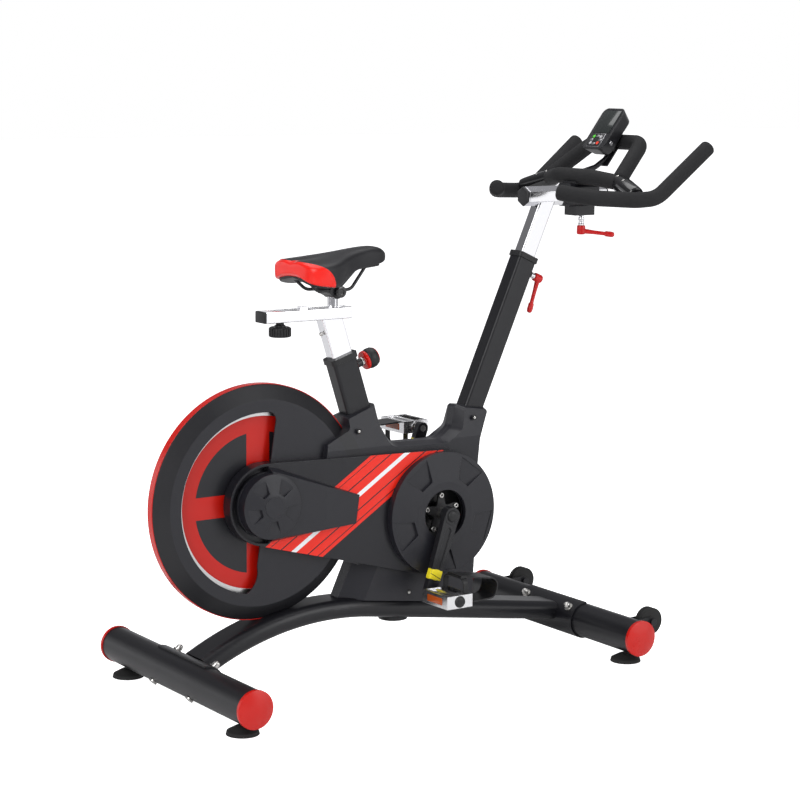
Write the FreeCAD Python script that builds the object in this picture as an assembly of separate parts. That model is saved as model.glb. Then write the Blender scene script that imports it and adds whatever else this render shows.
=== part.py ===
import FreeCAD, Part
import math
import os

# Indoor spin bike. Millimetres, +Z up, +X towards the handlebar, +Y to the rider's left.
# The origin is on the floor, under the middle of the whole bike.

V = FreeCAD.Vector
ALONG_Y = V(0, 1, 0)
ALONG_Z = V(0, 0, 1)

# ---- driving dimensions -------------------------------------------------------------------
# Base: two round cross tubes joined by one bent flat-oval beam.
bar_radius = 38.0
bar_wall = 2.0
bar_z = 61.0
rear_bar_x = -575.0
front_bar_x = 413.5
bar_half_length = 290.0
cap_depth = 14.0
foot_y = 245.0
foot_radius = 34.0
beam_width = 90.0
beam_height = 42.0
beam_wall = 2.5
beam_bend_radius = 660.0
beam_slope = 8.5            # degrees, straight stretch falls towards the front
beam_bend_start = (-130.0, 150.0)
beam_front_x = 378.0
beam_rear_x = -539.0
saddle_half_length = 100.0
saddle_wall = 4.0

# Flywheel and drive
wheel_x, wheel_z = -398.0, 408.0
flywheel_radius = 205.0
flywheel_half = 13.0
crank_x, crank_z = 35.0, 346.0
crank_length = 170.0
crank_lean = 18.5           # degrees behind straight down, right arm
small_pulley_radius = 30.0
large_pulley_radius = 96.0
belt_y = -32.0
belt_half_width = 5.0
belt_thickness = 3.0
running_gap = 0.05
brake_x, brake_z = -150.0, 352.0

# Covers
cover_radius = 249.0
cover_face_radius = 218.0
cover_edge_y = 9.0
cover_face_y = 27.0
trim_radius = 250.5
body_half = 42.0
bevel_y = 12.0
shell_wall = 3.0
casing_hub_radius = 87.0
hub_cap_radius = 68.5
casing_crank_radius = 139.0
casing_hub_y = 44.0         # front of the casing at the hub end; it rises to casing_y at the crank
casing_y = 58.0
casing_wall = 2.5
disc_radius = 136.5
disc_edge_y = 71.0
disc_face_y = 77.0
disc_ring_radius = 71.0
disc_opening_radius = 54.0

# Seat column, leaning back, and head column, leaning forward
seat_origin = V(-171.0, 0, 640.0)
seat_lean = -18.0
seat_tube_size = (60.0, 40.0)
seat_post_size = (50.0, 30.0)
head_origin = V(284.5, 0, 861.0)
head_lean = 24.0
head_tube_size = (50.0, 40.0)
head_post_size = (40.0, 30.0)
tube_wall = 2.0
seat_collar_s = 66.0        # collar top, along the column from its origin
head_collar_s = 38.0

# Seat rail and saddle
rail_z = 794.5
rail_size = (210.0, 40.0, 25.0)
rail_x = -278.0
stub_x = -209.0
knob_x = -339.0
saddle_pivot_x, saddle_pivot_z = -209.0, 838.0
saddle_drum_radius = 13.0
saddle_rear, saddle_nose = -315.0, -79.0
shell_under = [(-320, 874), (-180, 884), (-70, 893)]
shell_over = [(-320, 878), (-180, 888), (-70, 897)]

# Handlebar
hex_z = 1025.0
hex_side = 22.0
hex_x = (296.0, 520.0)
carriage_x = (410.0, 491.0)
bar_tube_radius = 12.5
centre_bar_z = 1067.0
foam_radius = 17.5
clamp_x = 461.0             # screw of the lever under the carriage
console_tilt = 52.0         # degrees of the screen from level
console_origin = V(520.0, 0, 1173.3)
console_pivot = (-20.0, -42.0)     # hinge axis in the console's own flat frame


# ---- shared shape helpers -------------------------------------------------------------------
def rod_y(radius, x, z, y0, y1):
    """Cylinder along Y from y0 to y1."""
    return Part.makeCylinder(radius, y1 - y0, V(x, y0, z), ALONG_Y)


def rod_z(radius, x, y, z0, z1):
    """Cylinder along Z from z0 to z1."""
    return Part.makeCylinder(radius, z1 - z0, V(x, y, z0), ALONG_Z)


def rod_between(radius, start, end):
    """Cylinder between two points."""
    run = end - start
    return Part.makeCylinder(radius, run.Length, start, run)


def box(x0, x1, y0, y1, z0, z1):
    return Part.makeBox(x1 - x0, y1 - y0, z1 - z0, V(x0, y0, z0))


def rounded_wire(points):
    """Closed wire in the XZ plane through (x, z, corner radius) points, corners as tangent arcs."""
    starts, mids, ends = [], [], []
    count = len(points)
    for i, (x, z, radius) in enumerate(points):
        here = V(x, 0, z)
        before = V(points[i - 1][0], 0, points[i - 1][1]) - here
        after = V(points[(i + 1) % count][0], 0, points[(i + 1) % count][1]) - here
        if radius == 0:
            starts.append(here)
            mids.append(None)
            ends.append(here)
            continue
        before.normalize()
        after.normalize()
        half = before.getAngle(after) / 2
        setback = radius / math.tan(half)
        middle = before + after
        middle.normalize()
        starts.append(here + before * setback)
        mids.append(here + middle * (radius / math.sin(half) - radius))
        ends.append(here + after * setback)
    edges = []
    for i in range(count):
        if mids[i] is not None:
            edges.append(Part.Arc(starts[i], mids[i], ends[i]).toShape())
        edges.append(Part.LineSegment(ends[i], starts[(i + 1) % count]).toShape())
    return Part.Wire(edges)


def slab(wire, y0, y1):
    """Solid between two Y planes, from a closed wire drawn at y = 0."""
    face = Part.Face(wire)
    face.translate(V(0, y0, 0))
    return face.extrude(V(0, y1 - y0, 0))


def two_circle_wire(x1, z1, r1, x2, z2, r2):
    """Outline of two round ends joined by their outer tangent lines."""
    reach = math.hypot(x2 - x1, z2 - z1)
    heading = math.atan2(z2 - z1, x2 - x1)
    spread = math.acos((r1 - r2) / reach)

    def at(x, z, r, angle):
        return V(x + r * math.cos(angle), 0, z + r * math.sin(angle))

    top_1, low_1 = at(x1, z1, r1, heading + spread), at(x1, z1, r1, heading - spread)
    top_2, low_2 = at(x2, z2, r2, heading + spread), at(x2, z2, r2, heading - spread)
    return Part.Wire([
        Part.LineSegment(top_1, top_2).toShape(),
        Part.Arc(top_2, at(x2, z2, r2, heading), low_2).toShape(),
        Part.LineSegment(low_2, low_1).toShape(),
        Part.Arc(low_1, at(x1, z1, r1, heading + math.pi), top_1).toShape(),
    ])


def bent_path(points, radii):
    """Open wire of straight runs with a tangent arc at each inner point."""
    edges = []
    last = points[0]
    for i in range(1, len(points) - 1):
        here = points[i]
        before = points[i - 1] - here
        after = points[i + 1] - here
        before.normalize()
        after.normalize()
        half = before.getAngle(after) / 2
        setback = radii[i - 1] / math.tan(half)
        middle = before + after
        middle.normalize()
        start = here + before * setback
        end = here + after * setback
        crown = here + middle * (radii[i - 1] / math.sin(half) - radii[i - 1])
        if start.distanceToPoint(last) > 0.01:
            edges.append(Part.LineSegment(last, start).toShape())
        edges.append(Part.Arc(start, crown, end).toShape())
        last = end
    if points[-1].distanceToPoint(last) > 0.01:
        edges.append(Part.LineSegment(last, points[-1]).toShape())
    return Part.Wire(edges)


def round_tube(points, radii, radius):
    """Solid round bar along a bent path."""
    path = bent_path(points, radii)
    direction = points[1] - points[0]
    ring = Part.Wire([Part.Circle(points[0], direction, radius).toShape()])
    return path.makePipeShell([ring], True, False)


def ball(radius, centre):
    return Part.makeSphere(radius, centre)


def rounded_bar(length, width, corner, z0, z1):
    """Upright bar with a rounded rectangular section, centred on the Z axis."""
    bar = box(-length / 2, length / 2, -width / 2, width / 2, z0, z1)
    upright = [e for e in bar.Edges if abs(e.Vertexes[0].Z - e.Vertexes[1].Z) > 1.0]
    return bar.makeFillet(corner, upright)


def placed(shape, origin, lean):
    """A shape drawn on its own upright axis, leaned about Y onto a column."""
    copy = shape.copy()
    copy.Placement = FreeCAD.Placement(origin, FreeCAD.Rotation(ALONG_Y, lean))
    return copy


def on_seat(shape):
    return placed(shape, seat_origin, seat_lean)


def on_head(shape):
    return placed(shape, head_origin, head_lean)


def left_of(shape):
    """The mirror image on the rider's left."""
    return shape.mirror(V(0, 0, 0), ALONG_Y)


def joined(shapes):
    """One solid from touching shapes."""
    return shapes[0].fuse(shapes[1:]).removeSplitter()


def save(node, shape):
    shape.exportStep("parts/" + node + ".step")
    print(node, len(shape.Solids), round(shape.Volume / 1000.0, 1), "cm3", shape.isValid())


# ---- base --------------------------------------------------------------------------------
def beam_path():
    """Centre line: straight from the front, then one large bend down to the rear."""
    slope = math.radians(beam_slope)
    bend_x, bend_z = beam_bend_start
    centre_x = bend_x - beam_bend_radius * math.sin(slope)
    centre_z = bend_z - beam_bend_radius * math.cos(slope)
    end_angle = math.asin((centre_x - beam_rear_x) / beam_bend_radius)
    middle_angle = (end_angle - slope) / 2

    def on_bend(angle):
        return V(centre_x - beam_bend_radius * math.sin(angle), 0,
                 centre_z + beam_bend_radius * math.cos(angle))

    front = V(beam_front_x, 0, bend_z - (beam_front_x - bend_x) * math.tan(slope))
    return Part.Wire([
        Part.LineSegment(front, V(bend_x, 0, bend_z)).toShape(),
        Part.Arc(V(bend_x, 0, bend_z), on_bend(middle_angle), on_bend(end_angle)).toShape(),
    ]), front


def beam_solid(width, height):
    path, front = beam_path()
    radius = height / 2 - 2.0
    section = rounded_wire([
        (-width / 2, -height / 2, radius), (width / 2, -height / 2, radius),
        (width / 2, height / 2, radius), (-width / 2, height / 2, radius)])
    section.rotate(V(0, 0, 0), ALONG_Z, 90)
    section.rotate(V(0, 0, 0), ALONG_Y, beam_slope)
    section.translate(front)
    return path.makePipeShell([section], True, False)


def bar_clearance(x):
    return rod_y(bar_radius, x, bar_z, -2 * bar_half_length, 2 * bar_half_length)


def main_beam():
    tube = beam_solid(beam_width, beam_height)
    tube = tube.cut(beam_solid(beam_width - 2 * beam_wall, beam_height - 2 * beam_wall))
    for x in (rear_bar_x, front_bar_x):
        tube = tube.cut(rod_y(bar_radius + saddle_wall, x, bar_z, -beam_width, beam_width))
    return max(tube.Solids, key=lambda solid: solid.Volume)


def saddle_bracket(x, towards):
    """Half-round steel saddle welded to the beam end, wrapping the beam side of the cross tube."""
    ring = rod_y(bar_radius + saddle_wall, x, bar_z, -saddle_half_length, saddle_half_length)
    ring = ring.cut(bar_clearance(x))
    reach = 2 * bar_radius
    far_side = box(x - reach, x - 4, -2 * reach, 2 * reach, bar_z - reach, bar_z + reach)
    if towards < 0:
        far_side = box(x + 4, x + reach, -2 * reach, 2 * reach, bar_z - reach, bar_z + reach)
    ring = ring.cut(far_side)
    for y in bolt_rows():
        ring = ring.cut(bolt_shank(x, towards, y, 4.2))
    return ring


def bolt_rows():
    return (-78.0, 78.0)


def bolt_shank(x, towards, y, radius):
    """Straight through the cross tube at 45 degrees, up towards the beam."""
    reach = bar_radius + 18
    tip = V(x + towards * reach * 0.7071, y, bar_z + reach * 0.7071)
    tail = V(x - towards * reach * 0.7071, y, bar_z - reach * 0.7071)
    return rod_between(radius, tail, tip)


def stabilizer_bolt(x, towards, y):
    """Domed bolt, curved washer and acorn nut."""
    lean = V(towards * 0.7071, 0, 0.7071)
    centre = V(x, y, bar_z)
    head = rod_between(9.0, centre - lean * (bar_radius + 4), centre - lean * (bar_radius + 0.05))
    shank = rod_between(4.0, centre - lean * (bar_radius + 1), centre + lean * (bar_radius + 12))
    seat = bar_radius + saddle_wall
    washer = rod_between(10.0, centre + lean * (seat + 0.05), centre + lean * (seat + 2.5))
    nut = rod_between(7.5, centre + lean * (seat + 2.5), centre + lean * (seat + 9))
    dome = ball(7.0, centre + lean * (seat + 9))
    return joined([head.cut(bar_clearance(x)), shank, washer, nut, dome])


def cross_tube(x, bolt_side):
    tube = bar_clearance(x).common(box(-900, 900, -bar_half_length, bar_half_length, 0, 300))
    tube = tube.cut(rod_y(bar_radius - bar_wall, x, bar_z, -400, 400))
    for y in bolt_rows():
        tube = tube.cut(bolt_shank(x, bolt_side, y, 4.2))
    for y in (-foot_y, foot_y):
        tube = tube.cut(rod_z(6.0, x, y, 0, bar_z))
    return tube


def end_cap(x):
    """Domed plug, pushed into the left-hand end of a cross tube."""
    end = bar_half_length
    plug = rod_y(bar_radius - bar_wall - 0.1, x, bar_z, end - 14, end)
    rim = rod_y(bar_radius + 2.0, x, bar_z, end, end + cap_depth)
    dome_radius = 117.0
    rim = rim.common(ball(dome_radius, V(x, end + cap_depth - dome_radius, bar_z)))
    return joined([plug, rim])


def foot(x, y):
    """Rubber levelling foot on a threaded stem, screwed fully in."""
    pad = Part.makeCone(foot_radius, foot_radius - 2, 7, V(x, y, 0), ALONG_Z)
    dome = Part.makeCone(foot_radius - 2, 14, 10, V(x, y, 7), ALONG_Z)
    stem = rod_z(5.0, x, y, 16, 48)
    return joined([pad, dome, stem])


def beam_pad():
    """Round steel boss with a rubber face under the middle of the beam."""
    pad = rod_z(32.0, -50.0, 0, 110.0, 124.0)
    return pad.cut(beam_solid(beam_width, beam_height))


def wheel_place(side):
    return 487.0, side * 235.0, 79.0


def transport_wheel(side):
    x, y, z = wheel_place(side)
    tyre = rod_y(31.0, x, z, y - 10, y + 10)
    groove = Part.makeTorus(31.0, 3.0, V(x, y, z), ALONG_Y)
    bore = rod_y(5.0 + running_gap, x, z, y - 12, y + 12)
    return tyre.cut(groove).cut(bore)


def wheel_bracket(side):
    """Two steel ears welded to the front tube, with the wheel's bolt between them."""
    x, y, z = wheel_place(side)
    ears = []
    for offset in (-14.0, 11.5):
        ear = slab(rounded_wire([
            (front_bar_x + 20, bar_z - 16, 0), (x + 4, z - 12, 10),
            (x + 6, z + 12, 10), (front_bar_x + 20, bar_z + 28, 0)]), y + offset, y + offset + 2.5)
        ears.append(ear.cut(bar_clearance(front_bar_x)))
    bolt = rod_y(5.0, x, z, y - 16, y + 16)
    heads = [rod_y(8.0, x, z, y - 20, y - 14), rod_y(8.0, x, z, y + 14, y + 20)]
    return joined(ears + [bolt] + heads)


# ---- upright frame ------------------------------------------------------------------------
def seat_tube():
    length, width = seat_tube_size
    outer = rounded_bar(length, width, 7.0, -520, seat_collar_s - 12)
    inner = rounded_bar(length - 2 * tube_wall, width - 2 * tube_wall, 5.0, -560, 100)
    tube = on_seat(outer.cut(inner))
    tube = tube.cut(beam_solid(beam_width, beam_height))
    tube = tube.cut(box(-300, 300, -60, 60, 0, 150))
    tube = max(tube.Solids, key=lambda solid: solid.BoundBox.ZMax)
    nut_start, nut_end = pin_point(29.5), pin_point(45.0)
    tube = tube.fuse(rod_between(9.0, nut_start, nut_end))
    return tube.cut(rod_between(5.0 + running_gap, pin_point(20), pin_point(60)))


def pin_point(distance):
    """A point on the pull-pin's axis, measured forward from the seat column's axis."""
    point = V(distance, 0, 31.0)
    turn = FreeCAD.Rotation(ALONG_Y, seat_lean)
    return seat_origin + turn.multVec(point)


def head_tube():
    length, width = head_tube_size
    outer = rounded_bar(length, width, 7.0, -530, head_collar_s - 12)
    inner = rounded_bar(length - 2 * tube_wall, width - 2 * tube_wall, 5.0, -560, 100)
    tube = on_head(outer.cut(inner))
    tube = tube.cut(box(-200, 200, -60, 60, 0, crank_z + 24))
    tube = tube.fuse(rod_between(8.0, lever_point(24.5), lever_point(34.0)))
    return tube.cut(rod_between(5.0 + running_gap, lever_point(20), lever_point(60)))


def lever_point(distance):
    """A point on the height lever's axis, measured forward from the head column's axis."""
    turn = FreeCAD.Rotation(ALONG_Y, head_lean)
    return head_origin + turn.multVec(V(distance, 0, 3.0))


def collar(size, post_size, top):
    """Plastic sleeve between a tube and its post, with a lip over the tube's end."""
    lip = rounded_bar(size[0] + 6, size[1] + 6, 9.0, top - 12, top)
    sleeve_length = size[0] - 2 * tube_wall - 0.1
    sleeve = rounded_bar(sleeve_length, size[1] - 2 * tube_wall - 0.1, 4.9, top - 70, top - 12)
    bore = rounded_bar(post_size[0] + 2 * running_gap, post_size[1] + 2 * running_gap, 4.0,
                       top - 80, top + 10)
    return joined([lip, sleeve]).cut(bore)


def tube_collars():
    seat = on_seat(collar(seat_tube_size, seat_post_size, seat_collar_s))
    seat = seat.cut(rod_between(6.0, pin_point(15), pin_point(60)))
    head = on_head(collar(head_tube_size, head_post_size, head_collar_s))
    head = head.cut(rod_between(6.0, lever_point(15), lever_point(60)))
    return Part.makeCompound([seat, head])


def drive_frame():
    """Bottom bracket, its strut and gusset, and the two stays that carry the flywheel's bearings."""
    shell = rod_y(22.0, crank_x, crank_z, -23, 23)
    strut = box(crank_x - 15, crank_x + 15, -17, 17, 100, crank_z)
    strut = strut.cut(beam_solid(beam_width, beam_height)).cut(box(-100, 200, -60, 60, 0, 130))
    strut = max(strut.Solids, key=lambda solid: solid.BoundBox.ZMax)
    gusset = box(-42, crank_x, -3, 3, crank_z - 18, crank_z + 18)
    gusset = gusset.cut(on_seat(rounded_bar(60, 40, 7.0, -560, 0)))
    gusset = max(gusset.Solids, key=lambda solid: solid.BoundBox.XMax)
    bracket = joined([shell, strut, gusset]).cut(rod_y(12.5 + running_gap, crank_x, crank_z, -40, 40))
    stays = []
    for side in (-1, 1):
        stay = slab(two_circle_wire(wheel_x, wheel_z, 26, -80, 352, 30), 20.05, 24.0)
        stay = stay.cut(rod_y(9.9 + running_gap, wheel_x, wheel_z, 0, 60))
        stays.append(stay if side > 0 else left_of(stay))
    pivot = rod_y(5.0, brake_x, brake_z, -20.05, 20.05)
    stay_set = stays[0].fuse([pivot, stays[1]])
    return Part.makeCompound([bracket, stay_set])


def magnet_bracket():
    """Two magnet arms astride the flywheel's rim, joined beyond it, on a hinge pin."""
    arm = slab(two_circle_wire(brake_x, brake_z, 12, -212, 362, 16), 14.5, 18.0)
    bridge = box(-176, -166, -14.6, 14.6, 346, 368)
    magnets = rod_y(9.0, -210, 362, 13.6, 14.6)
    body = joined([arm, left_of(arm), bridge, magnets, left_of(magnets)])
    return body.cut(rod_y(5.0 + running_gap, brake_x, brake_z, -30, 30))


# ---- flywheel and crank drive --------------------------------------------------------------
def flywheel():
    """Cast wheel: heavy rim, thinner web, hub on a rotating shaft."""
    rim = rod_y(flywheel_radius, wheel_x, wheel_z, -flywheel_half, flywheel_half)
    for y0 in (-flywheel_half - 1, 8.0):
        pocket = rod_y(183.0, wheel_x, wheel_z, y0, y0 + 6)
        pocket = pocket.cut(rod_y(34.0, wheel_x, wheel_z, y0 - 1, y0 + 7))
        rim = rim.cut(pocket)
    hub = rod_y(24.0, wheel_x, wheel_z, -19, 19)
    return joined([rim, hub]).cut(rod_y(9.9, wheel_x, wheel_z, -30, 30))


def flywheel_axle():
    return joined([rod_y(9.9, wheel_x, wheel_z, -24.5, 24.5),
                   rod_y(8.0, wheel_x, wheel_z, belt_y - 7, 31)])


def grooved_pulley(radius, x, z):
    """Ribbed belt pulley with low flanges."""
    body = rod_y(radius, x, z, belt_y - belt_half_width - 0.5, belt_y + belt_half_width + 0.5)
    flanges = []
    for y in (belt_y - belt_half_width - 2, belt_y + belt_half_width + 0.5):
        flanges.append(rod_y(radius + 2, x, z, y, y + 1.5))
    return joined([body] + flanges)


def flywheel_pulley():
    return grooved_pulley(small_pulley_radius, wheel_x, wheel_z).cut(
        rod_y(8.0, wheel_x, wheel_z, belt_y - 20, 0))


def drive_pulley():
    """Large pulley, with a five-arm spider standing out to the crank disc's opening."""
    wheel = grooved_pulley(large_pulley_radius, crank_x, crank_z)
    for side_y in (belt_y - 10, belt_y + 2):
        pocket = rod_y(86.0, crank_x, crank_z, side_y, side_y + 8)
        wheel = wheel.cut(pocket.cut(rod_y(36.0, crank_x, crank_z, side_y - 1, side_y + 9)))
    parts = [wheel, rod_y(22.0, crank_x, crank_z, -62, belt_y)]
    for i in range(5):
        angle = math.radians(72 * i + 20)
        bolt_x = crank_x + 40 * math.cos(angle)
        bolt_z = crank_z + 40 * math.sin(angle)
        arm = slab(two_circle_wire(crank_x, crank_z, 14, bolt_x, bolt_z, 7), -62, -57)
        parts += [arm, rod_y(4.0, bolt_x, bolt_z, -64.5, -61)]
    return joined(parts).cut(rod_y(12.5, crank_x, crank_z, -100, 0))


def drive_belt():
    """Ribbed belt, a closed loop round both pulleys."""
    y0, y1 = belt_y - belt_half_width, belt_y + belt_half_width
    gap = 0.2
    r1, r2 = small_pulley_radius + gap, large_pulley_radius + gap
    inner = slab(two_circle_wire(wheel_x, wheel_z, r1, crank_x, crank_z, r2), y0 - 1, y1 + 1)
    outer = slab(two_circle_wire(wheel_x, wheel_z, r1 + belt_thickness,
                                 crank_x, crank_z, r2 + belt_thickness), y0, y1)
    return outer.cut(inner)


def crank_spindle():
    return rod_y(12.5, crank_x, crank_z, -95, 95)


def pedal_point(side):
    """Pedal axle centre on the right (-1) or left (+1) arm, half a turn apart."""
    lean = math.radians(crank_lean)
    x = crank_x + side * crank_length * math.sin(lean)
    z = crank_z + side * crank_length * math.cos(lean)
    return x, z


def crank_arm(side):
    """Forged arm, tapering from the spindle boss to the pedal eye, with a long recess."""
    x, z = pedal_point(side)
    arm = slab(two_circle_wire(crank_x, crank_z, 19, x, z, 13.5), 88, 103)
    boss = rod_y(19.0, crank_x, crank_z, 82, 104)
    arm = joined([arm, boss])
    start_x = crank_x + 0.2 * (x - crank_x)
    start_z = crank_z + 0.2 * (z - crank_z)
    end_x = crank_x + 0.84 * (x - crank_x)
    end_z = crank_z + 0.84 * (z - crank_z)
    recess = slab(two_circle_wire(start_x, start_z, 8, end_x, end_z, 5.5), 100.5, 110)
    arm = arm.cut(recess).cut(rod_y(12.5, crank_x, crank_z, 60, 95))
    arm = arm.cut(rod_y(7.0, x, z, 60, 120))
    return left_of(arm) if side < 0 else arm


def pedal_axle(side):
    x, z = pedal_point(side)
    shaft = joined([rod_y(7.0, x, z, 88, 108), rod_y(9.0, x, z, 103, 112), rod_y(5.0, x, z, 108, 206)])
    return left_of(shaft) if side < 0 else shaft


def pedal(side):
    """Aluminium cage pedal round a central barrel."""
    x, z = pedal_point(side)
    cage = box(x - 33, x + 33, 116, 208, z - 14, z + 14)
    for x0, x1 in ((x - 29, x - 14), (x + 14, x + 29)):
        cage = cage.cut(box(x0, x1, 122, 202, z - 20, z + 20))
    for z0, z1 in ((z - 15, z - 10), (z + 10, z + 15)):
        cage = cage.cut(box(x - 14.5, x + 14.5, 122, 202, z0, z1))
    barrel = rod_y(12.0, x, z, 114, 206.5)
    cage = joined([cage, barrel]).cut(rod_y(5.0 + running_gap, x, z, 100, 206.0))
    cage = cage.cut(box(x - 40, x + 40, 100, 300, z + 14, z + 30))
    return left_of(cage) if side < 0 else cage


def strip(path, corner, across, thick):
    """Flat band along a path: corner, width vector and thickness vector of its section."""
    points = [corner, corner + across, corner + across + thick, corner + thick]
    return path.makePipeShell([Part.Wire(Part.makePolygon(points + [corner]))], True, False)


def toe_cage(side):
    """Plastic toe clip bent over the front of the pedal, and its strap up through the pedal."""
    x, z = pedal_point(side)
    start = x + 33.3
    route = bent_path([V(start, 134, z - 12), V(start + 74, 134, z - 9), V(start + 88, 134, z + 34),
                       V(x + 20, 134, z + 49)], [18, 20])
    clip = strip(route, V(start, 134, z - 12), V(0, 56, 0), V(0, 0, 3))
    loop = bent_path([V(x + 15.5, 125, z - 9), V(x + 15.5, 125, z + 46), V(x + 15.5, 199, z + 46),
                      V(x + 15.5, 199, z - 9)], [14, 14])
    band = strip(loop, V(x + 15.5, 125, z - 9), V(12, 0, 0), V(0, 2.2, 0))
    buckle = box(x + 14, x + 29, 178, 192, z + 45, z + 51)
    clip = joined([clip, band, buckle])
    if side > 0:
        clip.rotate(V(x, 0, z), ALONG_Y, 180)   # the free left pedal hangs with its cage below
    return left_of(clip) if side < 0 else clip


# ---- covers ----------------------------------------------------------------------------------
def body_wire(bevelled):
    """Side outline of the body shell: skirt, both column shrouds and the valley between them.

    The bevelled outline is the smaller one on the flat side; the other is the middle of the shell.
    """
    skirt = [(-204, 178, 0), (-168, 256, 8), (-275, 330, 0), (-245, 520, 0)]
    front = [(146, 330, 0), (140, 236, 10), (134, 130, 0)]
    top = [(-187, 548, 10), (-190, 574, 4), (-111, 596, 6), (-97, 548, 25), (-70, 505, 35), (66, 501, 35),
           (95, 526, 25), (103, 574, 6), (184, 564, 6), (158, 500, 60), (149, 440, 20)]
    if bevelled:
        top = [(-185, 546, 10), (-187, 566, 4), (-130, 588, 6), (-113, 542, 25), (-82, 499, 35), (66, 496, 35),
               (108, 522, 25), (122, 566, 6), (176, 558, 6), (152, 500, 60), (146, 440, 20)]
    return rounded_wire(skirt + top + front)


def body_block():
    """Left half of the shell's body, solid: flat in the middle, bevelled up to the side."""
    middle = body_wire(False)
    side = body_wire(True)
    middle.translate(V(0, bevel_y, 0))
    side.translate(V(0, body_half, 0))
    bevel = Part.makeLoft([middle, side], True, True)
    return joined([slab(body_wire(False), 0, bevel_y), bevel]).cut(skirt_wedge(0)).cut(neck_wedge(0))


def neck_wedge(depth):
    """What the sides leave away as they lean in round both columns above the valley."""
    corners = [(body_half - depth, 505), (27 - depth, 600), (27 - depth, 700), (90, 700), (90, 505)]
    points = [V(-400, y, z) for y, z in corners]
    face = Part.Face(Part.Wire(Part.makePolygon(points + [points[0]])))
    return face.extrude(V(700, 0, 0))


def skirt_wedge(depth):
    """What the skirt's slanting rear corner leaves away, set deeper by the shell's wall inside."""
    low_z, rise = 110.0, 142.0
    along = depth * 0.49
    inward = depth * 0.87
    corners = [(-236 + along, 15 - inward), (-183 + along, body_half - inward), (-183 + along, 80),
               (-300, 80), (-300, 15 - inward)]
    points = [V(x, y, low_z) for x, y in corners]
    face = Part.Face(Part.Wire(Part.makePolygon(points + [points[0]])))
    return face.extrude(V(rise * 0.486, 0, rise))


def wheel_bevel():
    """Left side of the wheel cover, filled in: a wide bevel up to the flat face."""
    return Part.makeCone(cover_radius, cover_face_radius, cover_face_y - cover_edge_y,
                         V(wheel_x, cover_edge_y, wheel_z), ALONG_Y)


def half_shell():
    """Left half of the moulded body: wheel cover blended into the body, and the skirt under it.

    The belt casing bridges the two mouldings; both are hollow inside.
    """
    outer = wheel_bevel().fuse(body_block())
    inner_cone = Part.makeCone(cover_radius - shell_wall, cover_face_radius - shell_wall,
                               cover_face_y - cover_edge_y,
                               V(wheel_x, cover_edge_y - shell_wall, wheel_z), ALONG_Y)
    room = slab(body_wire(True).makeOffset2D(-shell_wall), -1, body_half - shell_wall)
    outer = outer.cut(inner_cone).cut(room.cut(skirt_wedge(shell_wall)).cut(neck_wedge(shell_wall)))
    wheel_room = rod_y(cover_radius - shell_wall, wheel_x, wheel_z, -1, cover_edge_y)
    outer = outer.cut(wheel_room)
    casing_room = slab(two_circle_wire(wheel_x, wheel_z, casing_hub_radius - 8, crank_x, crank_z,
                                       casing_crank_radius - 8), 0, 80)
    outer = outer.cut(casing_room)
    outer = outer.cut(slab(window_wire(), 0, 80))
    outer = outer.cut(beam_solid(beam_width + 0.4, beam_height + 0.4))
    outer = outer.cut(box(-300, 300, -1, 80, 0, 125))
    outer = outer.cut(box(19.5, 50.5, -1, 17.5, 120, 155))
    outer = outer.cut(on_seat(rounded_bar(60.4, 40.4, 7.2, -560, 100)))
    outer = outer.cut(on_head(rounded_bar(50.4, 40.4, 7.2, -560, 100)))
    return Part.makeCompound([solid for solid in outer.Solids if solid.Volume > 1000])


def window_wire():
    """D-shaped window over the flywheel; its straight side leans with the belt line."""
    radius = 192.0
    top = V(-376, 0, wheel_z + 190.7)
    low = V(-437, 0, wheel_z - 188.0)
    return Part.Wire([
        Part.Arc(top, V(wheel_x - radius, 0, wheel_z), low).toShape(),
        Part.Arc(low, V(-416, 0, 240), V(-411, 0, 275)).toShape(),
        Part.LineSegment(V(-411, 0, 275), V(-366, 0, 572)).toShape(),
        Part.Arc(V(-366, 0, 572), V(-366, 0, 588), top).toShape(),
    ])


def rim_trim():
    """Red strip clamped between the two halves all round the wheel cover."""
    ring = rod_y(trim_radius, wheel_x, wheel_z, -cover_edge_y + 0.05, cover_edge_y - 0.05)
    ring = ring.cut(rod_y(trim_radius - 4.5, wheel_x, wheel_z, -20, 20))
    ring = ring.cut(slab(body_wire(False), -20, 20)).cut(beam_solid(beam_width + 0.4, beam_height + 0.4))
    return max(ring.Solids, key=lambda solid: solid.Volume)


def above_casing(inset):
    """Everything outside the casing's front, which leans out from the hub to the crank."""
    slope = (casing_y - casing_hub_y) / (crank_x - wheel_x + 32)
    far_x = wheel_x - 200
    far_y = casing_y - slope * (crank_x - far_x)
    corners = [V(far_x, far_y, 0), V(crank_x, casing_y, 0), V(300, casing_y, 0), V(300, 150, 0),
               V(far_x, 150, 0), V(far_x, far_y, 0)]
    face = Part.Face(Part.Wire(Part.makePolygon(corners)))
    face.translate(V(0, -inset, 0))
    return face.extrude(V(0, 0, 900))


def casing_solid(inset, low):
    wire = two_circle_wire(wheel_x, wheel_z, casing_hub_radius - inset,
                           crank_x, crank_z, casing_crank_radius - inset)
    return slab(wire, low, 90).cut(above_casing(inset))


def hub_groove(grow, floor):
    """Ring-shaped recess round the rear half of the hub."""
    ring = rod_y(81.5 + grow, wheel_x, wheel_z, floor, 90)
    ring = ring.cut(rod_y(hub_cap_radius + 1 - grow, wheel_x, wheel_z, 0, 100))
    return ring.common(box(wheel_x - 200, wheel_x + 4 + grow, 0, 100, 0, 900))


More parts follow.
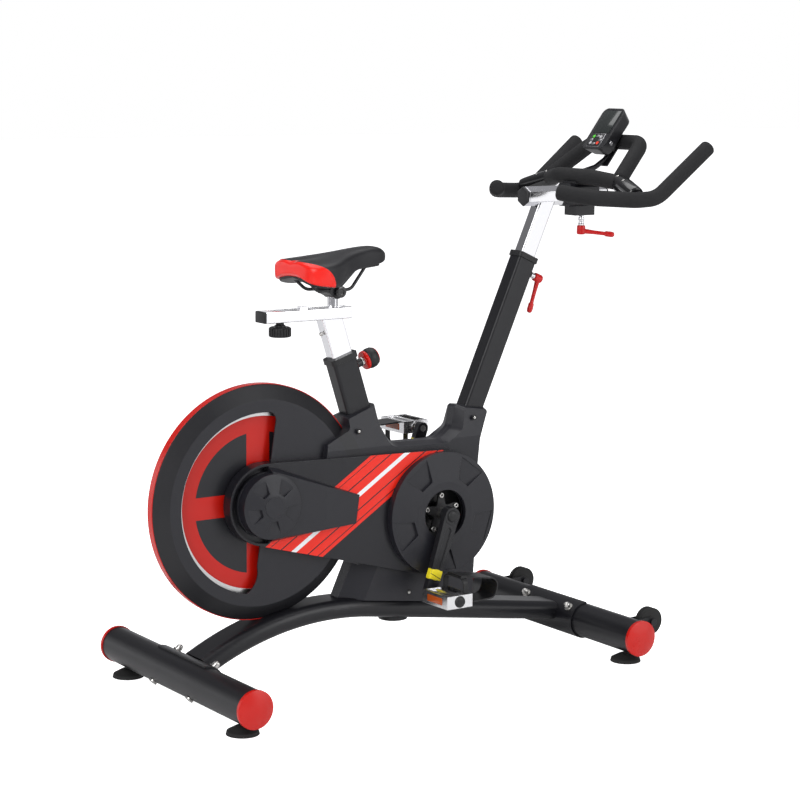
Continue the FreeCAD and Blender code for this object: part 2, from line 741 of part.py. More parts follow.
def belt_cover():
    """Left belt casing: a hollow panel from the flywheel hub to the crank."""
    outer = casing_solid(0, 0).cut(hub_groove(0, 31))
    inner = casing_solid(casing_wall, -1).cut(hub_groove(casing_wall, 31 - casing_wall))
    cover = outer.cut(inner)
    cover = cover.cut(slab(body_wire(False), -1, body_half + 0.05))
    cover = cover.cut(wheel_bevel().cut(slab(window_wire(), -1, 80)))
    cover = cover.cut(rod_y(300, wheel_x, wheel_z, -1, 15.0))
    cover = cover.cut(rod_y(disc_opening_radius + 2, crank_x, crank_z, -1, 90))
    return max(cover.Solids, key=lambda solid: solid.Volume)


def hub_cover_wire(radius, end_half, end_reach, y):
    """Round over the hub, tapering towards the crank."""
    tilt = math.atan2(crank_z - wheel_z, crank_x - wheel_x)

    def at(along, up):
        return V(wheel_x + along * math.cos(tilt) - up * math.sin(tilt), y,
                 wheel_z + along * math.sin(tilt) + up * math.cos(tilt))

    lean = math.atan2(radius - end_half, end_reach)
    top = at(radius * math.sin(lean), radius * math.cos(lean))
    low = at(radius * math.sin(lean), -radius * math.cos(lean))
    return Part.Wire([
        Part.Arc(low, at(-radius, 0), top).toShape(),
        Part.LineSegment(top, at(end_reach, end_half)).toShape(),
        Part.LineSegment(at(end_reach, end_half), at(end_reach, -end_half)).toShape(),
        Part.LineSegment(at(end_reach, -end_half), low).toShape(),
    ])


def trapezoid(x, z, angle, inner, outer, inner_half, outer_half, y0, y1):
    """Tapered pocket pointing out from a centre."""
    turn = math.radians(angle)
    corners = []
    for reach, half in ((inner, inner_half), (outer, outer_half), (outer, -outer_half),
                        (inner, -inner_half)):
        corners.append((x + reach * math.cos(turn) - half * math.sin(turn),
                        z + reach * math.sin(turn) + half * math.cos(turn), 0))
    return slab(rounded_wire(corners), y0, y1)


def pocket_angles():
    return [54 + 72 * i for i in range(5)]


def hub_cover():
    """Left hub cover: tapered raised plate that slopes down at its tip, and a domed cap."""
    front = 62.0
    plate = Part.makeLoft([hub_cover_wire(83, 34, 224, 38), hub_cover_wire(71, 29, 221, front)],
                          True, True)
    plate = plate.cut(box(wheel_x - 200, wheel_x + 4.05, -1, 100, 0, 900))
    slope = Part.Face(Part.Wire(Part.makePolygon([
        V(-265, front, 0), V(-150, front - 11, 0), V(-150, 90, 0), V(-265, 90, 0), V(-265, front, 0)])))
    plate = plate.cut(slope.extrude(V(0, 0, 900)))
    cap = rod_y(hub_cap_radius, wheel_x, wheel_z, 36, 69)
    dome = Part.makeCone(hub_cap_radius, 24, 8, V(wheel_x, 69, wheel_z), ALONG_Y)
    centre = rod_y(22.5, wheel_x, wheel_z, 70, 78)
    cover = joined([plate, cap, dome, centre])
    for angle in pocket_angles():
        cover = cover.cut(trapezoid(wheel_x, wheel_z, angle, 30, 60, 8, 19, 70.5, 90))
    cover = cover.cut(rod_y(hub_cap_radius - 3, wheel_x, wheel_z, 0, 67.5))
    cover = cover.cut(slab(hub_cover_wire(67, 20, 205, 0), 0, front - 14))
    return max(cover.cut(casing_solid(0, 0)).Solids, key=lambda solid: solid.Volume)


def crank_disc():
    """Left crank disc: shallow cone with five pockets and an open middle."""
    wall = rod_y(disc_radius, crank_x, crank_z, casing_hub_y, disc_edge_y)
    cone = Part.makeCone(disc_radius, disc_ring_radius, disc_face_y - disc_edge_y,
                         V(crank_x, disc_edge_y, crank_z), ALONG_Y)
    disc = joined([wall, cone])
    for angle in pocket_angles():
        disc = disc.cut(trapezoid(crank_x, crank_z, angle, 80, 126, 16, 34, 70.0, 90))
    disc = disc.cut(rod_y(disc_radius - 4, crank_x, crank_z, casing_hub_y - 1, 67.5))
    disc = disc.cut(rod_y(disc_opening_radius, crank_x, crank_z, 0, 100))
    return max(disc.cut(casing_solid(0, 0)).Solids, key=lambda solid: solid.Volume)


# ---- seat ------------------------------------------------------------------------------------
def seat_post():
    """Chromed post with the slotted seat rail welded across its top."""
    length, width = seat_post_size
    outer = rounded_bar(length, width, 4.0, -150, 170)
    inner = rounded_bar(length - 4, width - 4, 2.0, -160, 180)
    post = on_seat(outer.cut(inner))
    rail_length, rail_width, rail_height = rail_size
    low, high = rail_z - rail_height / 2, rail_z + rail_height / 2
    post = post.cut(box(-500, 0, -60, 60, low, 1000))
    x0, x1 = rail_x - rail_length / 2, rail_x + rail_length / 2
    rail = box(x0, x1, -rail_width / 2, rail_width / 2, low, high)
    rail = rail.makeFillet(3.0, [e for e in rail.Edges if abs(e.Vertexes[0].X - e.Vertexes[1].X) > 9])
    rail = rail.cut(box(x0 - 1, x1 + 1, -rail_width / 2 + 2, rail_width / 2 - 2, low + 2, high - 2))
    rail = rail.cut(box(x0 + 12, x1 - 5, -6.5, 6.5, high - 5, high + 5))
    rail = rail.cut(box(x0 + 7, x0 + 110, -6.5, 6.5, low - 5, low + 5))
    shape = joined([post, rail])
    for step in range(5):
        hole = rod_between(5.5, pin_point(20), pin_point(34))
        axis = FreeCAD.Rotation(ALONG_Y, seat_lean).multVec(V(0, 0, 1))
        hole.translate(axis * (-25.0 * step))
        shape = shape.cut(hole)
    return shape


def seat_slider():
    """Flat bar inside the rail, with the saddle stub and the clamp stop standing up through the slot."""
    low, high = rail_z - 8.0, rail_z + 8.0
    bar = box(knob_x - 12, stub_x + 16, -15.5, 15.5, low, high)
    neck = box(stub_x - 12, stub_x + 12, -6.2, 6.2, high - 1, 808)
    stub = rod_z(11.0, stub_x, 0, 807.4, 829)
    plate = box(stub_x - 84, stub_x - 66, -6.2, 6.2, high - 1, 812)
    slider = joined([bar, neck, stub, plate]).cut(rod_z(4.0 + running_gap, knob_x, 0, 700, 806))
    return slider.cut(rod_y(saddle_drum_radius + running_gap, saddle_pivot_x, saddle_pivot_z, -30, 30))


def slider_knob():
    """Ribbed clamp knob and its screw, up into the slider."""
    knob = rod_z(23.0, knob_x, 0, 751, 772)
    for i in range(16):
        angle = math.radians(22.5 * i)
        rib = rod_z(2.2, knob_x + 23.5 * math.cos(angle), 23.5 * math.sin(angle), 740, 780)
        knob = knob.cut(rib)
    neck = rod_z(11.0, knob_x, 0, 771, 781.5)
    screw = rod_z(4.0, knob_x, 0, 781, 800)
    return joined([knob, neck, screw])


def seat_pin():
    """Sprung pull-pin with its round knob; the tip stops just short of the post."""
    tip = rod_between(5.0, pin_point(25.6), pin_point(54))
    ring = rod_between(20.0, pin_point(52), pin_point(58))
    knob = rod_between(22.5, pin_point(58), pin_point(85))
    return joined([tip, ring, knob])


def saddle_rails():
    """Two bent wires: from the rear, down through the clamp, and up to the nose."""
    rails = []
    for side in (-1, 1):
        rails.append(round_tube([
            V(-300, side * 30, 880), V(-262, side * 22, 844), V(-178, side * 22, 844),
            V(-130, side * 12, 896)], [26, 24], 3.5))
    return rails


def saddle_clamp():
    """Twin-bolt clamp on the stub, gripping both wires."""
    clamp = box(saddle_pivot_x - 24, saddle_pivot_x + 16, -27, 27, 834, 850)
    clamp = clamp.makeChamfer(5.0, [e for e in clamp.Edges if abs(e.Vertexes[0].Y - e.Vertexes[1].Y) > 9])
    drum = rod_y(saddle_drum_radius, saddle_pivot_x, saddle_pivot_z, -20, 20)
    bolt = rod_y(9.0, saddle_pivot_x, saddle_pivot_z + 3, -32, 32)
    return joined([clamp, drum, bolt] + saddle_rails())


def saddle_outline(scale):
    """Closed plan curve: broad rounded rear with a shallow notch, waisted sides, narrow nose."""
    middle = (saddle_rear + saddle_nose) / 2

    def at(x, y):
        return V(middle + (x - middle) * scale, y * scale, 0)

    half = [at(saddle_rear + 7, 0), at(saddle_rear, 50), at(saddle_rear + 28, 90),
            at(saddle_rear + 75, 84), at(saddle_rear + 128, 40), at(saddle_nose - 30, 26),
            at(saddle_nose - 6, 17), at(saddle_nose, 0)]
    other = [V(p.x, -p.y, 0) for p in reversed(half[1:-1])]
    curve = Part.BSplineCurve()
    curve.interpolate(Points=half + other, PeriodicFlag=True)
    return Part.Wire([curve.toShape()])


def saddle_body(scale, lower, upper):
    """Saddle plan extruded, then trimmed between two side profiles of (x, z) points."""
    face = Part.Face(saddle_outline(scale))
    face.translate(V(0, 0, 840))
    body = face.extrude(V(0, 0, 110))
    front, back = 0.0, -400.0
    under = [(back, 700, 0), (front, 700, 0), (front, lower[-1][1], 0)]
    under += [(x, z, 0) for x, z in reversed(lower)] + [(back, lower[0][1], 0)]
    over = [(back, 1000, 0), (front, 1000, 0), (front, upper[-1][1], 0)]
    over += [(x, z, 0) for x, z in reversed(upper)] + [(back, upper[0][1], 0)]
    return body.cut(slab(rounded_wire(under), -150, 150)).cut(slab(rounded_wire(over), -150, 150))


def saddle_shell():
    """Moulded plastic base of the saddle, inside the cushion's skirt."""
    shell = saddle_body(0.86, shell_under, shell_over)
    for rail in saddle_rails():
        shell = shell.cut(rail)
    return max(shell.Solids, key=lambda solid: solid.Volume)


def saddle_cushion():
    """Padded cover: its skirt hangs lowest at the sides, a third of the way forward."""
    body = saddle_body(1.0, [(-330, 868), (-300, 862), (-245, 854), (-215, 860), (-165, 884), (-60, 892)],
                       [(-330, 908), (-240, 915), (-170, 929), (-118, 933), (-70, 926)])
    hollow = saddle_body(0.875, [(-390, 842), (-60, 842)], shell_over)
    cushion = body.cut(hollow)
    for rail in saddle_rails():
        cushion = cushion.cut(rail)
    return max(cushion.Solids, key=lambda solid: solid.Volume)


# ---- handlebar -----------------------------------------------------------------------------
def hexagon(side, z):
    points = []
    for i in range(6):
        angle = math.radians(60 * i + 30)
        points.append(V(0, side * math.cos(angle), z + side * math.sin(angle)))
    return Part.Wire(Part.makePolygon(points + [points[0]]))


def hex_bar(side, x0, x1):
    face = Part.Face(hexagon(side, hex_z))
    face.translate(V(x0, 0, 0))
    return face.extrude(V(x1 - x0, 0, 0))


def handlebar_post():
    """Chromed post with the hexagonal fore-and-aft rail welded on top."""
    length, width = head_post_size
    outer = rounded_bar(length, width, 4.0, -140, 200)
    inner = rounded_bar(length - 4, width - 4, 2.0, -150, 210)
    post = on_head(outer.cut(inner))
    cut_box = box(0, 600, -60, 60, hex_z, 1300)
    post = post.cut(cut_box).cut(hex_bar(hex_side, 200, 600))
    post = max(post.Solids, key=lambda solid: solid.Volume)
    rail = hex_bar(hex_side, hex_x[0] + 4, hex_x[1] - 4).cut(hex_bar(hex_side - 2.3, 0, 700))
    caps = [hex_bar(hex_side - 0.5, hex_x[0], hex_x[0] + 4), hex_bar(hex_side - 0.5, hex_x[1] - 4, hex_x[1])]
    return joined([post, rail] + caps)


def bar_carriage():
    """Clamp block that slides on the hexagonal rail and carries the handlebar."""
    x0, x1 = carriage_x
    block = box(x0, x1, -26, 26, 1000, 1052)
    block = block.makeChamfer(9.0, [e for e in block.Edges if abs(e.Vertexes[0].X - e.Vertexes[1].X) > 9])
    lower = box(x0 + 18, x1 - 8, -20, 20, 979, 1001)
    saddle = box(x0 + 14, x1 - 16, -24, 24, 1050, 1056)
    body = joined([block, lower, saddle]).cut(hex_bar(hex_side + 2 * running_gap, 0, 700))
    body = body.cut(rod_z(5.0 + running_gap, clamp_x, 0, 900, 1010))
    return body.cut(rod_y(foam_radius, 440.0, centre_bar_z, -100, 100))



def mirrored_pair(shape):
    return [left_of(shape), shape]


def grip_points():
    """Centre line of the left grip: from its rear end, out and forward, up into the horn."""
    return [V(308, 112, 1039), V(352, 176, 1029), V(440, 216, 1024), V(490, 224, 1027),
            V(631, 230, 1136)]


def grip_core(radius):
    return round_tube(grip_points(), [60, 80, 70], radius)


def loop_points():
    return [V(466, 124, 1062), V(566, 82, 1142), V(566, -82, 1142), V(466, -124, 1062)]


def centre_points():
    return [V(466, 124, 1057), V(440, 60, centre_bar_z), V(440, -60, centre_bar_z), V(466, -124, 1057)]


def handlebar_tube():
    """Bent steel tubes inside the foam, welded together."""
    radius = bar_tube_radius
    grips = mirrored_pair(grip_core(radius))
    loop = round_tube(loop_points(), [34, 34], radius)
    centre = round_tube(centre_points(), [60, 60], radius)
    arms = mirrored_pair(rod_between(radius, V(466, 120, 1058), V(452, 214, 1028)))
    return joined(grips + [loop, centre] + arms)


def grip_foam():
    outer = grip_core(foam_radius)
    points = grip_points()
    outer = outer.fuse([ball(foam_radius, points[0]), ball(foam_radius, points[-1])])
    sleeve = outer.cut(handlebar_tube()).cut(elbow_blocks(0.3))
    sleeve = max(sleeve.Solids, key=lambda solid: solid.Volume)
    return Part.makeCompound(mirrored_pair(sleeve))


def centre_foam():
    bar = round_tube(centre_points(), [60, 60], foam_radius)
    loop = round_tube(loop_points(), [34, 34], foam_radius)
    body = bar.fuse(loop).cut(handlebar_tube()).cut(elbow_blocks(0.3))
    solids = [solid for solid in body.Solids if solid.Volume > 5000]
    return Part.makeCompound(solids)


def elbow_solid(grow):
    top, low = V(470, 118, 1058), V(452, 200, 1033)
    return rod_between(19.5 + grow, top, low)


def elbow_blocks(grow):
    pair = mirrored_pair(elbow_solid(grow))
    return pair[0].fuse(pair[1])


def elbow_plates():
    """Glossy shrouds over the welded joints of the three bars."""
    solid = elbow_solid(0).cut(handlebar_tube())
    pair = [max(solid.Solids, key=lambda s: s.Volume)]
    return Part.makeCompound(mirrored_pair(pair[0]))


def lever(start, axis, arm_direction, arm_length):
    """Clamping lever: hub on a screw, with a tapering handle."""
    hub = rod_between(9.5, start, start + axis * 20)
    root = start + axis * 12
    neck = root + arm_direction * 14
    tip = root + arm_direction * arm_length + axis * 6
    arm = rod_between(5.5, root, neck).fuse(rod_between(5.5, neck, tip))
    return joined([hub, arm, ball(6.5, tip)])


def clamp_lever():
    """Lever and screw under the carriage."""
    down = V(0, 0, -1)
    handle = lever(V(clamp_x, 0, 955), down, V(0.86, -0.5, 0), 75)
    screw = rod_z(5.0, clamp_x, 0, 946, 1002)
    flange = rod_z(7.0, clamp_x, 0, 954, 978.5)
    return joined([handle, screw, flange])


def height_lever():
    """Lever and screw on the front of the head tube; the screw stops short of the post."""
    turn = FreeCAD.Rotation(ALONG_Y, head_lean)
    axis = turn.multVec(V(1, 0, 0))
    start = lever_point(46.0)
    screw = rod_between(5.0, lever_point(20.4), lever_point(48))
    return joined([lever(start, axis, turn.multVec(V(0, 0, -1)), 78), screw])


# ---- console ---------------------------------------------------------------------------------
def on_console(shape):
    """Console shapes are drawn flat, screen up, long side along X, then tilted."""
    copy = shape.copy()
    copy.Placement = FreeCAD.Placement(console_origin, FreeCAD.Rotation(ALONG_Y, -console_tilt))
    return copy


def console_case():
    """Moulded case, screen side towards the rider, with a shelf for the keys."""
    case = box(-58, 58, -38, 38, -34, 0)
    case = case.makeFillet(9.0, [e for e in case.Edges if abs(e.Vertexes[0].Z - e.Vertexes[1].Z) > 9])
    case = case.makeChamfer(4.0, [e for e in case.Edges if e.BoundBox.ZMin < -33.9])
    case = case.cut(box(-10, 50, -28, 28, -2.2, 1))
    for x, y in button_places():
        case = case.cut(rod_z(4.3, x, y, -8, 1))
    pivot_x, pivot_z = console_pivot
    lug = box(pivot_x - 5, pivot_x + 5, -7.9, 7.9, pivot_z - 4, -33)
    case = joined([case, lug]).cut(rod_y(2.5 + running_gap, pivot_x, pivot_z, -20, 20))
    return on_console(case)


def console_screen():
    return on_console(box(-9.9, 49.9, -27.9, 27.9, -2.1, -0.2))


def button_places():
    return [(-24.0, 12.0), (-24.0, -12.0), (-42.0, 12.0), (-42.0, -12.0)]


def button(x, y):
    return on_console(rod_z(4.0, x, y, -5.5, 1.8))


def console_bracket():
    """Bent stem from the middle bar to a cradle plate behind the console, with the hinge ears."""
    pivot_x, pivot_z = console_pivot
    plate = box(pivot_x - 46, pivot_x + 14, -15, 15, pivot_z - 13, pivot_z - 10)
    ears = []
    for side in (-1, 1):
        ear = box(pivot_x - 7, pivot_x + 7, -1.9, 1.9, pivot_z - 11, pivot_z + 6)
        ear.translate(V(0, side * 10.1, 0))
        ears.append(ear)
    pin = rod_y(2.5, pivot_x, pivot_z, -14, 14)
    cradle = on_console(joined([plate, pin] + ears))
    stem = round_tube([V(445, 0, centre_bar_z + 6), V(499, 0, 1086), V(534, 0, 1107)], [30], 6.0)
    bracket = joined([cradle, stem])
    bracket = bracket.cut(rod_y(foam_radius + 0.05, 440.0, centre_bar_z, -100, 100))
    loop_x, loop_z = loop_points()[1].x, loop_points()[1].z
    return bracket.cut(rod_y(foam_radius + 0.05, loop_x, loop_z, -100, 100))


# ---- write every node ------------------------------------------------------------------------
def main():
    os.makedirs("parts", exist_ok=True)
    save("main_beam", main_beam())
    save("saddle_brackets", Part.makeCompound([saddle_bracket(rear_bar_x, 1),
                                               saddle_bracket(front_bar_x, -1)]))
    save("rear_stabilizer", cross_tube(rear_bar_x, 1))
    save("front_stabilizer", cross_tube(front_bar_x, -1))
    caps = []
    bolts = []
    for x, towards in ((rear_bar_x, 1), (front_bar_x, -1)):
        caps += mirrored_pair(end_cap(x))
        for y in bolt_rows():
            bolts.append(stabilizer_bolt(x, towards, y))
    save("end_caps", Part.makeCompound(caps))
    save("stabilizer_bolts", Part.makeCompound(bolts))
    for name, x in (("rear", rear_bar_x), ("front", front_bar_x)):
        save(name + "_right_foot", foot(x, -foot_y))
        save(name + "_left_foot", foot(x, foot_y))
    save("beam_pad", beam_pad())
    save("right_transport_wheel", transport_wheel(-1))
    save("left_transport_wheel", transport_wheel(1))
    save("wheel_brackets", Part.makeCompound([wheel_bracket(-1), wheel_bracket(1)]))
    save("seat_tube", seat_tube())
    save("head_tube", head_tube())
    save("tube_collars", tube_collars())
    save("drive_frame", drive_frame())
    save("magnet_bracket", magnet_bracket())
    save("flywheel", flywheel())
    save("flywheel_axle", flywheel_axle())
    save("flywheel_pulley", flywheel_pulley())
    save("drive_pulley", drive_pulley())
    save("drive_belt", drive_belt())
    save("crank_spindle", crank_spindle())
    save("crank_arms", Part.makeCompound([crank_arm(-1), crank_arm(1)]))
    save("pedal_axles", Part.makeCompound([pedal_axle(-1), pedal_axle(1)]))
    for name, side in (("right", -1), ("left", 1)):
        save(name + "_pedal", pedal(side))
        save(name + "_toe_cage", toe_cage(side))
    left_half = half_shell()
    save("left_shell", left_half)
    save("right_shell", left_of(left_half))
    save("rim_trim", rim_trim())
    casing = belt_cover()
    save("left_belt_cover", casing)
    save("right_belt_cover", left_of(casing))
    save("hub_covers", Part.makeCompound(mirrored_pair(hub_cover())))
    save("crank_discs", Part.makeCompound(mirrored_pair(crank_disc())))
    save("seat_post", seat_post())
    save("seat_slider", seat_slider())
    save("slider_knob", slider_knob())
    save("seat_pin", seat_pin())
    save("saddle_clamp", saddle_clamp())
    save("saddle_shell", saddle_shell())
    save("saddle_cushion", saddle_cushion())
    save("handlebar_post", handlebar_post())
    save("bar_carriage", bar_carriage())
    save("handlebar_tube", handlebar_tube())
    save("grip_foam", grip_foam())
    save("centre_foam", centre_foam())
    save("elbow_plates", elbow_plates())
    save("clamp_lever", clamp_lever())
    save("height_lever", height_lever())
    save("console_bracket", console_bracket())
    save("console_case", console_case())
    save("console_screen", console_screen())
    for i, (x, y) in enumerate(button_places()):
        save("console_button_" + str(i + 1), button(x, y))


main()
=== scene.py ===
import math
import bpy
from mathutils import Matrix, Vector


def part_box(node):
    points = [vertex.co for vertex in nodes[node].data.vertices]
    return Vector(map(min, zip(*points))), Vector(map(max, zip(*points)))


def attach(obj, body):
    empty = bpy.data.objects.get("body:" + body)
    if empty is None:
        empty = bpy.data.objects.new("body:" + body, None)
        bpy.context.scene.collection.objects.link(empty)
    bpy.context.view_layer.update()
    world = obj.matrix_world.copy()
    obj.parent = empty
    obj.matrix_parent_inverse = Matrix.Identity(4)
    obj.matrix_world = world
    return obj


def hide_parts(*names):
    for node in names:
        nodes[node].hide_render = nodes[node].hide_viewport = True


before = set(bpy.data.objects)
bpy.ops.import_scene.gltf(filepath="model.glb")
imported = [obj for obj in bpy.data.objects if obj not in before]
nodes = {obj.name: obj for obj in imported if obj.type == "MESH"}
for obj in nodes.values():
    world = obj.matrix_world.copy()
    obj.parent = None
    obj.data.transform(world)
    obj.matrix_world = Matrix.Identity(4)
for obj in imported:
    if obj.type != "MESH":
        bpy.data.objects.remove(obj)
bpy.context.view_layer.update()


# ---- Studio -------------------------------------------------------------------------------
# A plain pale floor, a sky that is white behind the bike and grey in reflections, three large
# soft lamps, and two low cards that the chrome and the black paint reflect.
# The camera stands to the bike's right and behind it, at chest height, with a long lens.
def only(piece):
    if bpy.context.mode != "OBJECT":
        bpy.ops.object.mode_set(mode="OBJECT")
    bpy.ops.object.select_all(action="DESELECT")
    piece.select_set(True)
    bpy.context.view_layer.objects.active = piece


bpy.ops.object.select_all(action="DESELECT")
bpy.ops.mesh.primitive_plane_add(size=60, location=(0, 0, -0.0005))
floor = bpy.context.object
floor.name = "floor"
floor_paint = bpy.data.materials.new("floor_paint")
floor_paint.use_nodes = True
floor_shader = floor_paint.node_tree.nodes["Principled BSDF"]
floor_shader.inputs["Base Color"].default_value = (0.93, 0.93, 0.93, 1)
floor_shader.inputs["Roughness"].default_value = 0.75
floor_shader.inputs["Specular IOR Level"].default_value = 0.2
floor_shader.inputs["Emission Color"].default_value = (1, 1, 1, 1)
seen_directly = floor_paint.node_tree.nodes.new("ShaderNodeLightPath")
floor_glow = floor_paint.node_tree.nodes.new("ShaderNodeMapRange")
floor_glow.inputs["To Min"].default_value = 0.0
floor_glow.inputs["To Max"].default_value = 0.95
floor_paint.node_tree.links.new(seen_directly.outputs["Is Camera Ray"], floor_glow.inputs["Value"])
floor_paint.node_tree.links.new(floor_glow.outputs["Result"], floor_shader.inputs["Emission Strength"])
floor.data.materials.append(floor_paint)

sky = bpy.data.worlds.new("studio_sky")
sky.use_nodes = True
backdrop = sky.node_tree.nodes["Background"]
direction = sky.node_tree.nodes.new("ShaderNodeTexCoord")
level = sky.node_tree.nodes.new("ShaderNodeSeparateXYZ")
sky.node_tree.links.new(direction.outputs["Generated"], level.inputs[0])
room = sky.node_tree.nodes.new("ShaderNodeValToRGB")
room.color_ramp.elements[0].position = 0.0
room.color_ramp.elements[0].color = (0.80, 0.80, 0.82, 1)
room.color_ramp.elements[1].position = 0.95
room.color_ramp.elements[1].color = (0.42, 0.42, 0.44, 1)
for position, value in ((0.20, 0.80), (0.27, 0.12)):
    stop = room.color_ramp.elements.new(position)
    stop.color = (value, value, value * 1.03, 1)
sky.node_tree.links.new(level.outputs["Z"], room.inputs["Fac"])
seen = sky.node_tree.nodes.new("ShaderNodeLightPath")
white_behind = sky.node_tree.nodes.new("ShaderNodeMix")
white_behind.data_type = "RGBA"
white_behind.inputs[7].default_value = (1, 1, 1, 1)
sky.node_tree.links.new(seen.outputs["Is Camera Ray"], white_behind.inputs[0])
sky.node_tree.links.new(room.outputs["Color"], white_behind.inputs[6])
sky.node_tree.links.new(white_behind.outputs[2], backdrop.inputs["Color"])
bpy.context.scene.world = sky
bpy.context.scene.view_settings.view_transform = "Standard"

for name, place, width, height, watts in (
    ("lamp_left", (-3.4, -1.6, 2.6), 2.2, 3.0, 95),
    ("lamp_right", (1.6, -3.4, 2.4), 1.6, 2.6, 55),
    ("lamp_top", (0.2, 0.4, 3.6), 3.0, 3.0, 60),
    ("card_right", (2.3, -3.0, 0.75), 2.6, 1.9, 13.5),
    ("card_back", (-2.4, 3.2, 0.75), 2.2, 1.9, 6),
):
    data = bpy.data.lights.new(name, "AREA")
    data.shape = "RECTANGLE"
    data.size, data.size_y, data.energy = width, height, watts
    lamp = bpy.data.objects.new(name, data)
    bpy.context.scene.collection.objects.link(lamp)
    lamp.location = place
    aim = Vector((0, 0, 0.55)) - lamp.location
    lamp.rotation_euler = aim.to_track_quat("-Z", "Y").to_euler()

eye = Vector((-2.6802, -3.8587, 1.3152))
turn, tip, roll = math.radians(34.434), math.radians(8.772), math.radians(0.416)
sight = Vector((math.sin(turn) * math.cos(tip), math.cos(turn) * math.cos(tip), -math.sin(tip)))
camera_data = bpy.data.cameras.new("camera")
camera_data.sensor_width = 36.0
camera_data.lens = 98.09
camera = bpy.data.objects.new("camera", camera_data)
bpy.context.scene.collection.objects.link(camera)
camera.matrix_world = Matrix.Translation(eye) @ (
    Matrix.Rotation(-roll, 4, sight) @ sight.to_track_quat("-Z", "Y").to_matrix().to_4x4())
bpy.context.scene.camera = camera


# ---- Base: main beam, saddle brackets, cross tubes, wheel brackets --------------------------
# Welded steel tube with a satin black powder coat: a fine orange-peel skin, a little duller
# in patches where it was handled, and painted lighter along its edges, partly as wear and partly as a painted
# highlight.
def node_group(name, inputs, outputs):
    group = bpy.data.node_groups.new(name, "ShaderNodeTree")
    for label, kind, value in inputs:
        socket = group.interface.new_socket(label, in_out="INPUT", socket_type=kind)
        socket.default_value = value
    for label, kind in outputs:
        group.interface.new_socket(label, in_out="OUTPUT", socket_type=kind)
    return group, group.nodes.new("NodeGroupInput"), group.nodes.new("NodeGroupOutput")


def sum_of(tree, operation, a, b=0.0, clamp=False):
    """A Math node in the tree, fed by sockets or plain numbers; returns its output."""
    node = tree.nodes.new("ShaderNodeMath")
    node.operation = operation
    node.use_clamp = clamp
    for socket, value in zip(node.inputs, (a, b)):
        if isinstance(value, (int, float)):
            socket.default_value = value
        else:
            tree.links.new(value, socket)
    return node.outputs[0]


def blended(tree, amount, low, high):
    """A colour mix in the tree, from low to high by amount; returns its output."""
    node = tree.nodes.new("ShaderNodeMix")
    node.data_type = "RGBA"
    for socket, value in ((node.inputs[0], amount), (node.inputs[6], low), (node.inputs[7], high)):
        if isinstance(value, (int, float)):
            socket.default_value = value
        elif isinstance(value, tuple):
            socket.default_value = (*value, 1)
        else:
            tree.links.new(value, socket)
    return node.outputs[2]


FLOAT, VECTOR = "NodeSocketFloat", "NodeSocketVector"
skin, skin_in, skin_out = node_group(
    "skin_grain", [("Scale", FLOAT, 900.0), ("Roughness", FLOAT, 0.4), ("Patchiness", FLOAT, 0.1)],
    [("Height", FLOAT), ("Roughness", FLOAT)])
skin_place = skin.nodes.new("ShaderNodeTexCoord")
fine = skin.nodes.new("ShaderNodeTexNoise")
fine.inputs["Detail"].default_value = 2.0
skin.links.new(skin_place.outputs["Object"], fine.inputs["Vector"])
skin.links.new(skin_in.outputs["Scale"], fine.inputs["Scale"])
skin.links.new(fine.outputs["Fac"], skin_out.inputs["Height"])
broad = skin.nodes.new("ShaderNodeTexNoise")
broad.inputs["Scale"].default_value = 14.0
broad.inputs["Detail"].default_value = 5.0
skin.links.new(skin_place.outputs["Object"], broad.inputs["Vector"])
patch = sum_of(skin, "MULTIPLY", sum_of(skin, "SUBTRACT", broad.outputs["Fac"], 0.5),
               skin_in.outputs["Patchiness"])
skin.links.new(sum_of(skin, "ADD", patch, skin_in.outputs["Roughness"], True), skin_out.inputs["Roughness"])

edges, edges_in, edges_out = node_group(
    "soft_edges", [("Radius", FLOAT, 0.001), ("Wear_and_highlight", FLOAT, 0.3)], [("Worn_and_highlight", FLOAT), ("Normal", VECTOR)])
rounded = edges.nodes.new("ShaderNodeBevel")
rounded.samples = 4
edges.links.new(edges_in.outputs["Radius"], rounded.inputs["Radius"])
flat_normal = edges.nodes.new("ShaderNodeNewGeometry")
facing = edges.nodes.new("ShaderNodeVectorMath")
facing.operation = "DOT_PRODUCT"
edges.links.new(rounded.outputs[0], facing.inputs[0])
edges.links.new(flat_normal.outputs["Normal"], facing.inputs[1])
# The edge mask rises where the rounded normal turns away from the face normal; it lightens the base colour
# there, partly as edge wear and partly as a painted highlight.
turned_away = sum_of(edges, "MULTIPLY", sum_of(edges, "SUBTRACT", 1.0, facing.outputs["Value"]), 5.0, True)
worn_and_highlight_share = sum_of(edges, "MULTIPLY", turned_away, edges_in.outputs["Wear_and_highlight"], True)
edges.links.new(worn_and_highlight_share, edges_out.inputs["Worn_and_highlight"])
edges.links.new(rounded.outputs[0], edges_out.inputs["Normal"])


